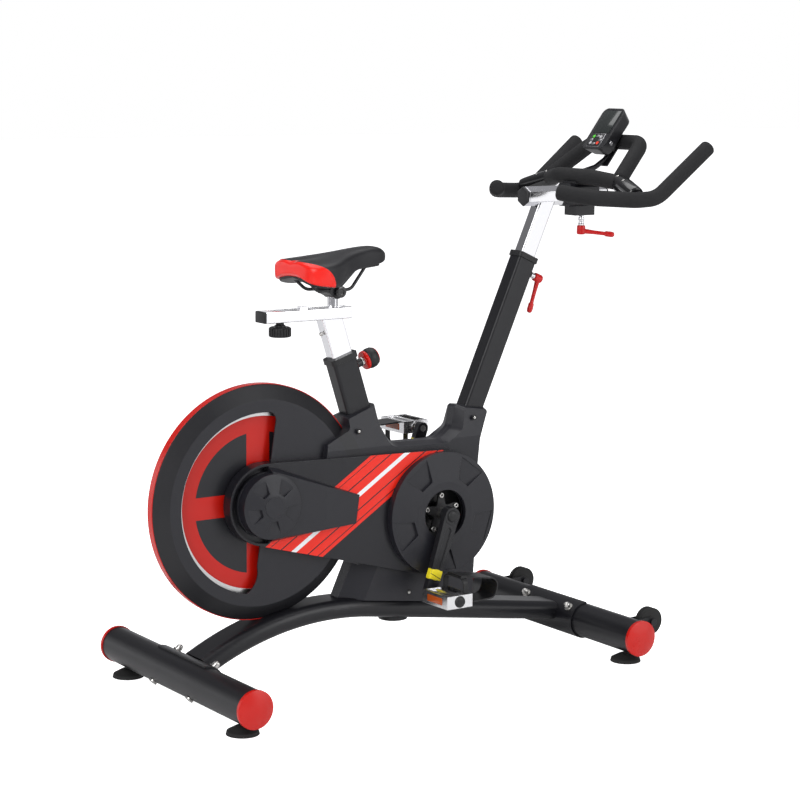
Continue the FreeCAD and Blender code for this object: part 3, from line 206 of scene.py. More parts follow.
def finish(name, colour, roughness, metallic=0.0, coat=0.0, grain=900.0, depth=0.00002, patch=0.12,
           radius=0.001, wear_and_highlight=0.25):
    """A material with grain, uneven gloss, softened edges and edges painted lighter, partly as wear and
    partly as a painted highlight. Returns it with its working parts.
    """
    material = bpy.data.materials.new(name)
    material.use_nodes = True
    tree = material.node_tree
    shader = tree.nodes["Principled BSDF"]
    shader.inputs["Metallic"].default_value = metallic
    shader.inputs["Coat Weight"].default_value = coat
    shader.inputs["Coat Roughness"].default_value = 0.12
    if metallic == 0.0:
        shader.inputs["Specular IOR Level"].default_value = 0.36
    surface = tree.nodes.new("ShaderNodeGroup")
    surface.node_tree = skin
    surface.inputs["Scale"].default_value = grain
    surface.inputs["Roughness"].default_value = roughness
    surface.inputs["Patchiness"].default_value = patch
    rim = tree.nodes.new("ShaderNodeGroup")
    rim.node_tree = edges
    rim.inputs["Radius"].default_value = radius
    rim.inputs["Wear_and_highlight"].default_value = wear_and_highlight
    bump = tree.nodes.new("ShaderNodeBump")
    bump.inputs["Distance"].default_value = depth
    tree.links.new(surface.outputs["Height"], bump.inputs["Height"])
    tree.links.new(rim.outputs["Normal"], bump.inputs["Normal"])
    tree.links.new(bump.outputs["Normal"], shader.inputs["Normal"])
    tree.links.new(surface.outputs["Roughness"], shader.inputs["Roughness"])
    # Edges get a lighter base colour: partly edge wear, partly a painted highlight.
    lighter = tuple(min(1.0, c * 1.6 + 0.012) for c in colour)
    shade = blended(tree, rim.outputs["Worn_and_highlight"], colour, lighter)
    tree.links.new(shade, shader.inputs["Base Color"])
    return {"material": material, "tree": tree, "shader": shader, "shade": shade, "surface": surface}


def coat_node(material, *names):
    """Gives CAD nodes a material."""
    for name in names:
        nodes[name].data.materials.clear()
        nodes[name].data.materials.append(material)


powder = finish("powder_black", (0.007, 0.007, 0.009), 0.34, grain=700.0, depth=0.00003, radius=0.0012)
coat_node(powder["material"], "main_beam", "rear_stabilizer", "front_stabilizer", "saddle_brackets",
          "beam_pad", "wheel_brackets", "seat_tube", "head_tube", "drive_frame", "console_bracket",
          "bar_carriage", "handlebar_tube")

# ---- End caps and rim trim ---------------------------------------------------------------
# Bright red gloss ABS: four domed plugs in the ends of the cross tubes, and the strip that is
# clamped between the two halves of the wheel cover.
red_gloss = finish("red_gloss", (0.52, 0.005, 0.001), 0.26, coat=0.1, grain=300.0, depth=0.00001, wear_and_highlight=0.1)
coat_node(red_gloss["material"], "end_caps", "rim_trim")

# ---- Fasteners and shafts ------------------------------------------------------------------
# Zinc-plated bolts, washers and acorn nuts, and the bare turned steel of the shafts.
zinc = finish("zinc_steel", (0.55, 0.54, 0.52), 0.28, metallic=1.0, grain=1500.0, patch=0.3, wear_and_highlight=0.1)
coat_node(zinc["material"], "stabilizer_bolts", "crank_spindle", "pedal_axles", "flywheel_axle",
          "flywheel_pulley", "magnet_bracket")

# ---- Rubber: levelling feet, rollers, drive belt ---------------------------------------------
# Soft black rubber with a dry, slightly dusty surface.
rubber = finish("rubber_black", (0.014, 0.014, 0.014), 0.72, grain=2200.0, depth=0.00004, patch=0.25)
coat_node(rubber["material"], "rear_right_foot", "rear_left_foot", "front_right_foot", "front_left_foot",
          "right_transport_wheel", "left_transport_wheel", "drive_belt")

# ---- Body shells -------------------------------------------------------------------------------
# Moulded ABS halves in matte charcoal with a fine spark texture; the bevel round the wheel is
# painted a little darker than the flat sides, as painted shade.
wheel_centre = Vector((-0.398, 0.0, 0.408))


def from_centre(tree, centre):
    """X and Z measured from a point in the side plane, and the distance from it."""
    place = tree.nodes.new("ShaderNodeTexCoord")
    shift = tree.nodes.new("ShaderNodeVectorMath")
    shift.operation = "SUBTRACT"
    shift.inputs[1].default_value = centre
    tree.links.new(place.outputs["Object"], shift.inputs[0])
    split = tree.nodes.new("ShaderNodeSeparateXYZ")
    tree.links.new(shift.outputs[0], split.inputs[0])
    x, z = split.outputs[0], split.outputs[2]
    squares = sum_of(tree, "ADD", sum_of(tree, "MULTIPLY", x, x), sum_of(tree, "MULTIPLY", z, z))
    return x, z, sum_of(tree, "SQRT", squares)


def step_up(tree, value, edge, soft=0.0004):
    """0 below the edge and 1 above it, with a narrow soft step."""
    return sum_of(tree, "DIVIDE", sum_of(tree, "SUBTRACT", value, edge - soft / 2), soft, True)


def between(tree, value, low, high):
    return sum_of(tree, "MULTIPLY", step_up(tree, value, low),
                  sum_of(tree, "SUBTRACT", 1.0, step_up(tree, value, high)))


shell = finish("shell_plastic", (0.012, 0.012, 0.016), 0.40, grain=1300.0, depth=0.00005, radius=0.0016)
shell_reach = from_centre(shell["tree"], wheel_centre)[2]
bevel_from, bevel_to, bevel_blend = 0.2178, 0.2505, 0.001
past_face = step_up(shell["tree"], shell_reach, bevel_from, bevel_blend)
past_rim = step_up(shell["tree"], shell_reach, bevel_to, bevel_blend)
# Painted shade: the bevel round the wheel gets a darker base colour than the flat sides.
bevel_painted_shade = sum_of(shell["tree"], "MULTIPLY", past_face, sum_of(shell["tree"], "SUBTRACT", 1.0, past_rim))
shell_colour_with_painted_shade = blended(shell["tree"], bevel_painted_shade, shell["shade"], (0.010, 0.010, 0.012))
shell["tree"].links.new(shell_colour_with_painted_shade, shell["shader"].inputs["Base Color"])
coat_node(shell["material"], "right_shell", "left_shell")

cover = finish("cover_plastic", (0.012, 0.012, 0.016), 0.34, grain=1300.0, depth=0.00004, radius=0.0016)
coat_node(cover["material"], "hub_covers", "crank_discs")

# ---- Belt casings ------------------------------------------------------------------------------
# Satin black casings with a printed band of slanting stripes: six red, and one white among them.
stripe_rise = math.radians(33.5)
red_bands = ((0.480, 0.488), (0.460, 0.4785), (0.440, 0.4575), (0.410, 0.431), (0.391, 0.4075),
             (0.381, 0.389))
white_band = (0.431, 0.440)
casing = finish("casing_striped", (0.009, 0.009, 0.012), 0.32, grain=1300.0, depth=0.00003, radius=0.0015)
casing_tree = casing["tree"]
casing_place = casing_tree.nodes.new("ShaderNodeTexCoord")
casing_split = casing_tree.nodes.new("ShaderNodeSeparateXYZ")
casing_tree.links.new(casing_place.outputs["Object"], casing_split.inputs[0])
across = sum_of(casing_tree, "ADD",
                sum_of(casing_tree, "MULTIPLY", casing_split.outputs[0], -math.sin(stripe_rise)),
                sum_of(casing_tree, "MULTIPLY", casing_split.outputs[2], math.cos(stripe_rise)))
casing_facing = casing_tree.nodes.new("ShaderNodeNewGeometry")
casing_normal = casing_tree.nodes.new("ShaderNodeSeparateXYZ")
casing_tree.links.new(casing_facing.outputs["Normal"], casing_normal.inputs[0])
front_face = step_up(casing_tree, sum_of(casing_tree, "ABSOLUTE", casing_normal.outputs[1]), 0.9, 0.1)
red_amount = 0.0
for low, high in red_bands:
    red_amount = sum_of(casing_tree, "ADD", between(casing_tree, across, low, high), red_amount, True)
printed = blended(casing_tree, sum_of(casing_tree, "MULTIPLY", red_amount, front_face),
                  casing["shade"], (0.76, 0.018, 0.006))
white_amount = sum_of(casing_tree, "MULTIPLY", between(casing_tree, across, *white_band), front_face)
printed = blended(casing_tree, white_amount, printed, (0.80, 0.80, 0.82))
casing_tree.links.new(printed, casing["shader"].inputs["Base Color"])
coat_node(casing["material"], "right_belt_cover", "left_belt_cover")

# ---- Flywheel -----------------------------------------------------------------------------------
# Cast iron wheel: a bare turned band at the rim, then a red painted ring and cross with four
# dark grey sectors between its arms.
iron = finish("flywheel_paint", (0.55, 0.55, 0.55), 0.34, grain=1800.0, depth=0.00002, patch=0.2)
iron_tree = iron["tree"]
spoke_x, spoke_z, spoke_reach = from_centre(iron_tree, wheel_centre)
ring_radius, sector_radius, upright_half, level_half = 0.183, 0.150, 0.0275, 0.0235
inside_ring = sum_of(iron_tree, "SUBTRACT", 1.0, step_up(iron_tree, spoke_reach, ring_radius))
inside_sectors = sum_of(iron_tree, "SUBTRACT", 1.0, step_up(iron_tree, spoke_reach, sector_radius))
beside_upright = step_up(iron_tree, sum_of(iron_tree, "ABSOLUTE", spoke_x), upright_half)
above_level = step_up(iron_tree, sum_of(iron_tree, "ABSOLUTE", spoke_z), level_half)
off_the_arms = sum_of(iron_tree, "MULTIPLY", beside_upright, above_level)
sector = sum_of(iron_tree, "MULTIPLY", inside_sectors, off_the_arms)
painted = blended(iron_tree, inside_ring, iron["shade"], (0.50, 0.007, 0.002))
painted = blended(iron_tree, sector, painted, (0.012, 0.012, 0.015))
iron_tree.links.new(painted, iron["shader"].inputs["Base Color"])
bare = sum_of(iron_tree, "SUBTRACT", 1.0, inside_ring)
iron_tree.links.new(bare, iron["shader"].inputs["Metallic"])
coat_node(iron["material"], "flywheel")

# ---- Drive: pulley, cranks -------------------------------------------------------------------
# Moulded black pulley and spider; forged cranks in satin black paint.
pulley_plastic = finish("pulley_plastic", (0.010, 0.010, 0.011), 0.42, grain=1100.0)
coat_node(pulley_plastic["material"], "drive_pulley")
crank_paint = finish("crank_paint", (0.012, 0.012, 0.014), 0.32, grain=800.0, depth=0.00003, radius=0.0018)
coat_node(crank_paint["material"], "crank_arms", "saddle_clamp")

# ---- Pedals ------------------------------------------------------------------------------------
# Cast aluminium cages, polished on the outer faces.
alloy = finish("pedal_alloy", (0.72, 0.72, 0.73), 0.22, metallic=1.0, grain=900.0, depth=0.00004, patch=0.3)
coat_node(alloy["material"], "right_pedal", "left_pedal")
black_plastic = finish("black_plastic", (0.010, 0.010, 0.011), 0.45, grain=1500.0, depth=0.00003)
coat_node(black_plastic["material"], "right_toe_cage", "left_toe_cage", "tube_collars", "slider_knob",
          "seat_pin", "saddle_shell", "console_case")

# ---- Chromed posts -------------------------------------------------------------------------------
# Bright nickel-chrome over steel tube, with the faintest unevenness in its polish.
chrome = finish("chrome_tube", (0.82, 0.82, 0.84), 0.07, metallic=1.0, grain=250.0, depth=0.000004,
                patch=0.05)
coat_node(chrome["material"], "seat_post", "seat_slider", "handlebar_post")

# ---- Seat rail fittings ----------------------------------------------------------------------------
# A black nylon insert in the rail's rear end, and the plated stop screw low on the post.
def opened(piece, chosen):
    """The piece in edit mode with only the faces chosen by their centre and normal selected."""
    only(piece)
    for face in piece.data.polygons:
        face.select = chosen(face.center, face.normal)
    for edge in piece.data.edges:
        edge.select = False
    for vertex in piece.data.vertices:
        vertex.select = False
    bpy.ops.object.mode_set(mode="EDIT")
    bpy.ops.mesh.select_mode(type="FACE")


def fitted(piece, name, material, body, bevel=0.0, segments=3, angle=35.0):
    """Rounds a modelled piece's edges, puts its place into its mesh and fixes it to a body."""
    only(piece)
    piece.name = name
    bpy.ops.object.transform_apply(location=True, rotation=True, scale=True)
    if bevel > 0:
        rounding = piece.modifiers.new("rounding", "BEVEL")
        rounding.width = bevel
        rounding.segments = segments
        rounding.limit_method = "ANGLE"
        rounding.angle_limit = math.radians(angle)
        bpy.ops.object.modifier_apply(modifier="rounding")
    bpy.ops.object.mode_set(mode="EDIT")
    bpy.ops.mesh.select_all(action="SELECT")
    bpy.ops.mesh.remove_doubles(threshold=0.000001)
    bpy.ops.mesh.normals_make_consistent(inside=False)
    bpy.ops.object.mode_set(mode="OBJECT")
    bpy.ops.object.shade_smooth_by_angle(angle=math.radians(angle))
    piece.data.materials.clear()
    piece.data.materials.append(material)
    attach(piece, body)
    return piece


def block(length, width, height, centre, turn_y=0.0):
    """A cube primitive at its size and place, pitched about Y."""
    bpy.ops.object.select_all(action="DESELECT")
    bpy.ops.mesh.primitive_cube_add(size=1, location=centre, rotation=(0, turn_y, 0))
    piece = bpy.context.object
    piece.scale = (length, width, height)
    only(piece)
    bpy.ops.object.transform_apply(location=False, rotation=False, scale=True)
    return piece


def turned(profile, start, axis, sides=40):
    """A lathe shape: rings of (distance, radius) drawn out one after another along an axis."""
    bpy.ops.object.select_all(action="DESELECT")
    first_reach, first_radius = profile[0]
    bpy.ops.mesh.primitive_circle_add(vertices=sides, radius=first_radius, fill_type="NGON",
                                      location=(0, 0, 0))
    piece = bpy.context.object
    bpy.ops.object.mode_set(mode="EDIT")
    bpy.ops.mesh.select_all(action="SELECT")
    bpy.ops.transform.translate(value=(0, 0, first_reach))
    reach, radius = profile[0]
    for next_reach, next_radius in profile[1:]:
        bpy.ops.mesh.extrude_region_move(TRANSFORM_OT_translate={"value": (0, 0, next_reach - reach)})
        ratio = next_radius / radius
        bpy.ops.transform.resize(value=(ratio, ratio, 1), center_override=(0, 0, next_reach))
        reach, radius = next_reach, next_radius
    bpy.ops.object.mode_set(mode="OBJECT")
    piece.matrix_world = Matrix.Translation(start) @ Vector(axis).to_track_quat("Z", "Y").to_matrix().to_4x4()
    return piece


def joined_up(pieces):
    """One object made of several."""
    only(pieces[0])
    for piece in pieces:
        piece.select_set(True)
    bpy.ops.object.join()
    return bpy.context.object


rail_low, rail_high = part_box("seat_post")
rail_height = 0.025
cap_place = (rail_low[0] - 0.0015, 0, rail_high[2] - rail_height / 2)
rail_cap = block(0.007, 0.0385, 0.0240, cap_place)
fitted(rail_cap, "seat_rail_cap", black_plastic["material"], "seat_column", bevel=0.0022)
stop_screw = turned([(0, 0.0028), (0.004, 0.0028), (0.0045, 0.0045), (0.008, 0.0045), (0.0095, 0.0030)],
                    (-0.2318, 0, 0.7520), (-0.951, 0, -0.309), 16)
fitted(stop_screw, "post_stop_screw", zinc["material"], "seat_column", bevel=0.0004)

# ---- Slider knob -----------------------------------------------------------------------------------
# Ribbed black nylon clamp knob on its own neck, screwed up through the rail's lower slot.
knob_low, knob_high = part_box("slider_knob")
knob_place = ((knob_low[0] + knob_high[0]) / 2, 0, knob_low[2])
knob = turned([(0, 0.0205), (0.0018, 0.0236), (0.0185, 0.0236), (0.0212, 0.0200)], knob_place, (0, 0, 1), 72)
only(knob)
bpy.ops.object.transform_apply(location=True, rotation=True, scale=True)
facet_angle, facets_per_rib, rib_depth = 5, 3, 0.0022
opened(knob, lambda centre, normal: abs(normal.z) < 0.2 and int(
    math.degrees(math.atan2(centre.y, centre.x - knob_place[0])) // facet_angle) % facets_per_rib == 0)
bpy.ops.mesh.extrude_faces_move(TRANSFORM_OT_shrink_fatten={"value": -rib_depth})
bpy.ops.object.mode_set(mode="OBJECT")
fitted(knob, "rail_clamp_knob", black_plastic["material"], "rail_knob", bevel=0.0005,
       segments=2)
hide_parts("slider_knob")
knob_neck = turned([(0.0205, 0.0125), (0.024, 0.0118), (0.026, 0.0085), (0.0305, 0.0085), (0.040, 0.0040)],
                   knob_place, (0, 0, 1))
fitted(knob_neck, "rail_clamp_neck", black_plastic["material"], "rail_knob", bevel=0.0004)

# ---- Pull-pin --------------------------------------------------------------------------------------
# Round black knob with a red ring behind it and a red edge on its far side, on a plated stem.
seat_foot = Vector((-0.171, 0, 0.640))
seat_turn = Matrix.Rotation(math.radians(-18), 4, "Y")
pin_axis = seat_turn @ Vector((1, 0, 0))
pin_lift = 0.031


def pin_point(distance):
    return seat_foot + seat_turn @ Vector((distance, 0, pin_lift))


pin_knob = turned([(0, 0.0185), (0.003, 0.0212), (0.009, 0.0225), (0.018, 0.0218), (0.023, 0.0190)],
                  pin_point(0.059), pin_axis, 48)
fitted(pin_knob, "pull_pin_knob", black_plastic["material"], "pull_pin", bevel=0.001,
       angle=25)
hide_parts("seat_pin")
pin_ring = turned([(0, 0.0165), (0.001, 0.0205), (0.0060, 0.0212), (0.0072, 0.0180)],
                  pin_point(0.0525), pin_axis, 48)
fitted(pin_ring, "pull_pin_ring", red_gloss["material"], "pull_pin", bevel=0.0006)
pin_edge = turned([(0, 0.0180), (0.0006, 0.0193), (0.0026, 0.0172), (0.0034, 0.0110)],
                  pin_point(0.0820), pin_axis, 48)
fitted(pin_edge, "pull_pin_badge", red_gloss["material"], "pull_pin", bevel=0.0005)
pin_stem = turned([(0, 0.0045), (0.020, 0.0050), (0.0202, 0.0095), (0.0285, 0.0100)],
                  pin_point(0.0256), pin_axis, 24)
fitted(pin_stem, "pull_pin_stem", zinc["material"], "pull_pin", bevel=0.0004)

# ---- Saddle ----------------------------------------------------------------------------------------
# Moulded foam under stitched synthetic leather: matte black top and nose, glossy red panels round
# the rear and sides. One padded piece, lofted ring by ring and then pulled in along its seam.
saddle_stations = (
    (-0.3150, 0.052, 0.9035, 0.8740), (-0.3120, 0.068, 0.9075, 0.8680), (-0.3040, 0.080, 0.9100, 0.8630),
    (-0.2900, 0.0875, 0.9115, 0.8590), (-0.2700, 0.0885, 0.9125, 0.8555), (-0.2480, 0.0840, 0.9150, 0.8540),
    (-0.2260, 0.0710, 0.9180, 0.8575), (-0.2060, 0.0550, 0.9215, 0.8670), (-0.1860, 0.0425, 0.9250, 0.8775),
    (-0.1640, 0.0340, 0.9285, 0.8855), (-0.1400, 0.0295, 0.9312, 0.8890), (-0.1190, 0.0270, 0.9325, 0.8915),
    (-0.1020, 0.0240, 0.9305, 0.8940), (-0.0900, 0.0185, 0.9250, 0.8975), (-0.0830, 0.0120, 0.9180, 0.9020),
    (-0.0800, 0.0060, 0.9120, 0.9055))


def saddle_ring(half_width, top, low, rear):
    """Points of one cross-section, from the right shoulder over the top and back underneath."""
    shoulder = top - min(0.020, (top - low) * 0.45)
    ring = []
    for i in range(25):
        angle = math.pi * i / 24
        side = math.copysign(abs(math.cos(angle)) ** 0.72, math.cos(angle))
        up = abs(math.sin(angle)) ** 0.80
        y = -half_width * side
        channel = 0.0045 * rear * math.exp(-(y / 0.013) ** 2)
        ring.append((y, shoulder + (top - shoulder) * up - channel))
    for i in range(1, 5):
        step = i / 4
        ring.append((half_width * (1 - 0.06 * step * step), shoulder + (low - shoulder) * step))
    for i in range(1, 12):
        y = half_width * 0.94 * (1 - i / 6)
        arch = 0.011 * (1 - (y / (half_width * 0.94)) ** 2)
        ring.append((y, low + arch))
    for i in range(4, 0, -1):
        step = i / 4
        ring.append((-half_width * (1 - 0.06 * step * step), shoulder + (low - shoulder) * step))
    return ring


def drawn_through(stations, ring_of):
    """A skin drawn out ring by ring along X, every ring shaped, both ends closed."""
    rings = [[(x, y, z) for y, z in ring_of(x, *rest)] for x, *rest in stations]
    bpy.ops.object.select_all(action="DESELECT")
    bpy.ops.mesh.primitive_circle_add(vertices=len(rings[0]), radius=0.01, fill_type="NGON",
                                      location=(0, 0, 0))
    piece = bpy.context.object
    bpy.ops.object.mode_set(mode="EDIT")
    bpy.ops.mesh.select_all(action="SELECT")
    for _ in rings[1:]:
        bpy.ops.mesh.extrude_region_move(TRANSFORM_OT_translate={"value": (0, 0, 0.01)})
    bpy.ops.object.mode_set(mode="OBJECT")
    count = len(rings[0])
    by_level = sorted(range(len(piece.data.vertices)), key=lambda i: round(piece.data.vertices[i].co.z, 4))
    for level, ring in enumerate(rings):
        members = by_level[level * count:(level + 1) * count]
        members.sort(key=lambda i: math.atan2(piece.data.vertices[i].co.y, piece.data.vertices[i].co.x))
        for i, place in zip(members, ring):
            piece.data.vertices[i].co = place
    return piece


def smoothed(piece, levels):
    """Subdivision surface, applied."""
    only(piece)
    soft = piece.modifiers.new("soft", "SUBSURF")
    soft.levels = levels
    soft.render_levels = levels
    bpy.ops.object.modifier_apply(modifier="soft")


def towards_rear(x, start):
    """0 in front of the start, rising to 1 over the 50 mm behind it."""
    return max(0.0, min(1.0, (start - x) / 0.05))


saddle = drawn_through(saddle_stations, lambda x, half_width, top, low: saddle_ring(
    half_width, top, low, towards_rear(x, -0.235)))
smoothed(saddle, 2)
panel_mid_x, panel_mid_z, panel_half_x, panel_half_z = -0.330, 0.855, 0.078, 0.056
seam_width, seam_depth, puff_at, puff_width, puff_height = 0.028, 0.0013, 0.72, 0.22, 0.0008
for vertex in saddle.data.vertices:
    across_panel = math.hypot((vertex.co.x - panel_mid_x) / panel_half_x,
                              (vertex.co.z - panel_mid_z) / panel_half_z)
    seam = math.exp(-((across_panel - 1.0) / seam_width) ** 2)
    puff = math.exp(-((across_panel - puff_at) / puff_width) ** 2)
    vertex.co += vertex.normal * (puff_height * puff - seam_depth * seam)

leather = finish("saddle_leather", (0.009, 0.009, 0.011), 0.46, grain=1500.0, depth=0.00008, wear_and_highlight=0.1)
leather_tree = leather["tree"]
leather_place = leather_tree.nodes.new("ShaderNodeTexCoord")
leather_split = leather_tree.nodes.new("ShaderNodeSeparateXYZ")
leather_tree.links.new(leather_place.outputs["Object"], leather_split.inputs[0])
leather_x, leather_y, leather_z = leather_split.outputs
from_mid_x = sum_of(leather_tree, "SUBTRACT", leather_x, panel_mid_x)
from_mid_z = sum_of(leather_tree, "SUBTRACT", leather_z, panel_mid_z)
panel_x = sum_of(leather_tree, "DIVIDE", from_mid_x, panel_half_x)
panel_z = sum_of(leather_tree, "DIVIDE", from_mid_z, panel_half_z)
panel_squares = sum_of(leather_tree, "ADD", sum_of(leather_tree, "MULTIPLY", panel_x, panel_x),
                       sum_of(leather_tree, "MULTIPLY", panel_z, panel_z))
panel_reach = sum_of(leather_tree, "SQRT", panel_squares)
red_panel = sum_of(leather_tree, "SUBTRACT", 1.0, step_up(leather_tree, panel_reach, 0.995, 0.01))
tongue_half, tongue_front, tongue_blend = 0.007, -0.292, 0.001
beside_tongue = step_up(leather_tree, sum_of(leather_tree, "ABSOLUTE", leather_y), tongue_half, tongue_blend)
ahead_of_tongue = step_up(leather_tree, leather_x, tongue_front, tongue_blend)
tongue = sum_of(leather_tree, "MULTIPLY", sum_of(leather_tree, "SUBTRACT", 1.0, beside_tongue),
                sum_of(leather_tree, "SUBTRACT", 1.0, ahead_of_tongue))
red_panel = sum_of(leather_tree, "MAXIMUM", red_panel, tongue)
leather_colour = blended(leather_tree, red_panel, leather["shade"], (0.80, 0.014, 0.008))
leather_tree.links.new(leather_colour, leather["shader"].inputs["Base Color"])
gloss = sum_of(leather_tree, "SUBTRACT", leather["surface"].outputs["Roughness"],
               sum_of(leather_tree, "MULTIPLY", red_panel, 0.24))
leather_tree.links.new(gloss, leather["shader"].inputs["Roughness"])
fitted(saddle, "saddle_cover", leather["material"], "saddle", angle=50)
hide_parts("saddle_cushion")

base_stations = [(x + 0.004, half_width * 0.86, low + 0.012, low - 0.0075 * towards_rear(x, -0.225) + 0.003)
                 for x, half_width, top, low in saddle_stations[1:-2]]
saddle_base = drawn_through(base_stations, lambda x, half_width, top, low: saddle_ring(
    half_width, top, low, 0.0))
smoothed(saddle_base, 1)
fitted(saddle_base, "saddle_base", black_plastic["material"], "saddle", angle=50)
gloss_black = finish("gloss_black", (0.008, 0.008, 0.009), 0.14, coat=0.5, grain=300.0, depth=0.00001)
for side, hand in ((-1, "right"), (1, "left")):
    ring_cup = turned([(0, 0.0115), (0.0025, 0.0125), (0.0035, 0.0105), (0.0036, 0.0065), (0.0020, 0.0060),
                       (0.0019, 0.0030)], (-0.209, side * 0.0320, 0.841), (0, side, 0), 32)
    fitted(ring_cup, "saddle_clamp_nut_" + hand, gloss_black["material"], "saddle",
           bevel=0.0004)

# ---- Handlebar foam --------------------------------------------------------------------------------
# Closed-cell foam sleeves over bent steel tube: dry, slightly pimpled skin and rounded ends.
foam = finish("foam_black", (0.010, 0.010, 0.011), 0.80, grain=900.0, depth=0.00025, patch=0.15, wear_and_highlight=0.0)
foam_radius = 0.0175


def bent(points, radii, steps=10):
    """Points along straight runs joined by tangent arcs."""
    corners = [Vector(p) for p in points]
    line = [corners[0]]
    for here, before, after, radius in zip(corners[1:-1], corners, corners[2:], radii):
        back = (before - here).normalized()
        on = (after - here).normalized()
        half = back.angle(on) / 2
        start = here + back * (radius / math.tan(half))
        centre = here + (back + on).normalized() * (radius / math.sin(half))
        swing = math.pi - 2 * half
        pivot = (start - centre).cross(on).normalized()
        for i in range(steps + 1):
            line.append(centre + Matrix.Rotation(swing * i / steps, 3, pivot) @ (start - centre))
    return line + [corners[-1]]


def rounded_off(line):
    """The line with extra points near both ends, each with the share of the radius it has there."""
    shares = ((0.0, 0.52), (0.0008, 0.68), (0.0024, 0.83), (0.0050, 0.95), (0.0090, 1.0))
    route = []
    for end, inner, part in ((line[0], line[1], shares), (line[-1], line[-2], tuple(reversed(shares)))):
        ahead = (inner - end).normalized()
        stretch = [(end + ahead * reach, share) for reach, share in part]
        route = route + [(place, 1.0) for place in line[1:-1]] + stretch if route else stretch
    return route


def sleeve(name, line, radius, body, material, fatter=None):
    """A tube along a line of points, closed, with its two ends rounded over."""
    line = rounded_off(line)
    data = bpy.data.curves.new(name, "CURVE")
    data.dimensions = "3D"
    data.bevel_depth = radius
    data.bevel_resolution = 8
    data.use_fill_caps = True
    spline = data.splines.new("POLY")
    spline.points.add(len(line) - 1)
    for i, (place, share) in enumerate(line):
        spline.points[i].co = (*place, 1)
        spline.points[i].radius = share * fatter(place) if fatter else share
    tube = bpy.data.objects.new(name, data)
    bpy.context.scene.collection.objects.link(tube)
    only(tube)
    bpy.ops.object.convert(target="MESH")
    tube = bpy.context.object
    bpy.ops.object.mode_set(mode="EDIT")
    bpy.ops.mesh.select_all(action="SELECT")
    bpy.ops.mesh.remove_doubles(threshold=0.000001)
    bpy.ops.mesh.normals_make_consistent(inside=False)
    bpy.ops.object.mode_set(mode="OBJECT")
    return fitted(tube, name, material, body, angle=55)


grip_route = ((0.3020, 0.1085, 1.0400), (0.352, 0.176, 1.029), (0.440, 0.216, 1.024), (0.490, 0.224, 1.027),
              (0.6350, 0.2303, 1.1395))
loop_route = ((0.466, 0.124, 1.062), (0.566, 0.082, 1.142), (0.566, -0.082, 1.142), (0.466, -0.124, 1.062))
middle_route = ((0.466, 0.124, 1.057), (0.440, 0.060, 1.067), (0.440, -0.060, 1.067), (0.466, -0.124, 1.057))
for side, hand in ((1, "left"), (-1, "right")):
    route = [(x, side * y, z) for x, y, z in grip_route]
    grip = sleeve("grip_foam_" + hand, bent(route, (0.060, 0.080, 0.070)), foam_radius, "carriage",
                  foam["material"])
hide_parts("grip_foam")
loop_sleeve = sleeve("loop_foam", bent(loop_route, (0.034, 0.034)), foam_radius, "carriage",
                     foam["material"])
middle_sleeve = sleeve("middle_foam", bent(middle_route, (0.060, 0.060), 14), foam_radius, "carriage",
                       foam["material"],
                       fatter=lambda place: 1.0 + 0.10 * math.exp(-(place[1] / 0.045) ** 2))
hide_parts("centre_foam")

# ---- Elbow shrouds ---------------------------------------------------------------------------------
# Gloss black shrouds over the welded joints, each with two silver screws on top.
elbow_top, elbow_low = Vector((0.472, 0.110, 1.060)), Vector((0.449, 0.203, 1.0325))
for side, hand in ((1, "left"), (-1, "right")):
    top = Vector((elbow_top.x, side * elbow_top.y, elbow_top.z))
    low = Vector((elbow_low.x, side * elbow_low.y, elbow_low.z))
    run = (low - top).length
    shroud = turned([(0, 0.0150), (0.004, 0.0188), (0.014, 0.0203), (run * 0.5, 0.0208),
                     (run - 0.014, 0.0200), (run - 0.003, 0.0190), (run, 0.0165)], top, low - top, 48)
    fitted(shroud, "elbow_shroud_" + hand, gloss_black["material"], "carriage", bevel=0.0008,
           angle=20)
    for i, part in enumerate((0.22, 0.52)):
        up = Vector((-0.35, -side * 0.28, 0.89)).normalized()
        seat_of_screw = top.lerp(low, part) + up * 0.0190
        screw = turned([(0, 0.0052), (0.0022, 0.0052), (0.0030, 0.0040), (0.0030, 0.0024), (0.0016, 0.0022)],
                       seat_of_screw, up, 20)
        fitted(screw, "elbow_screw_%s_%d" % (hand, i + 1), zinc["material"], "carriage",
               bevel=0.0003)
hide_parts("elbow_plates")

# ---- Handlebar rail plugs --------------------------------------------------------------------------
# Black hexagonal plugs in both ends of the rail.
for name, end, ahead in (("rear", 0.296, -1), ("front", 0.520, 1)):
    plug = turned([(0, 0.0180), (0.0035, 0.0224), (0.0062, 0.0224), (0.0090, 0.0185), (0.0095, 0.0100)],
                  (end - ahead * 0.0035, 0, 1.025), (ahead, 0, 0), 6)
    fitted(plug, "rail_plug_" + name, black_plastic["material"], "handlebar_column",
           bevel=0.0010)

# ---- Levers ------------------------------------------------------------------------------------------
# Die-cast clamping levers in gloss red: a drum on a chromed screw, a stepped arm and a rounded tip.
red_lever = finish("red_lever", (0.50, 0.004, 0.004), 0.30, coat=0.15, grain=700.0, depth=0.00004,
                   radius=0.0008)


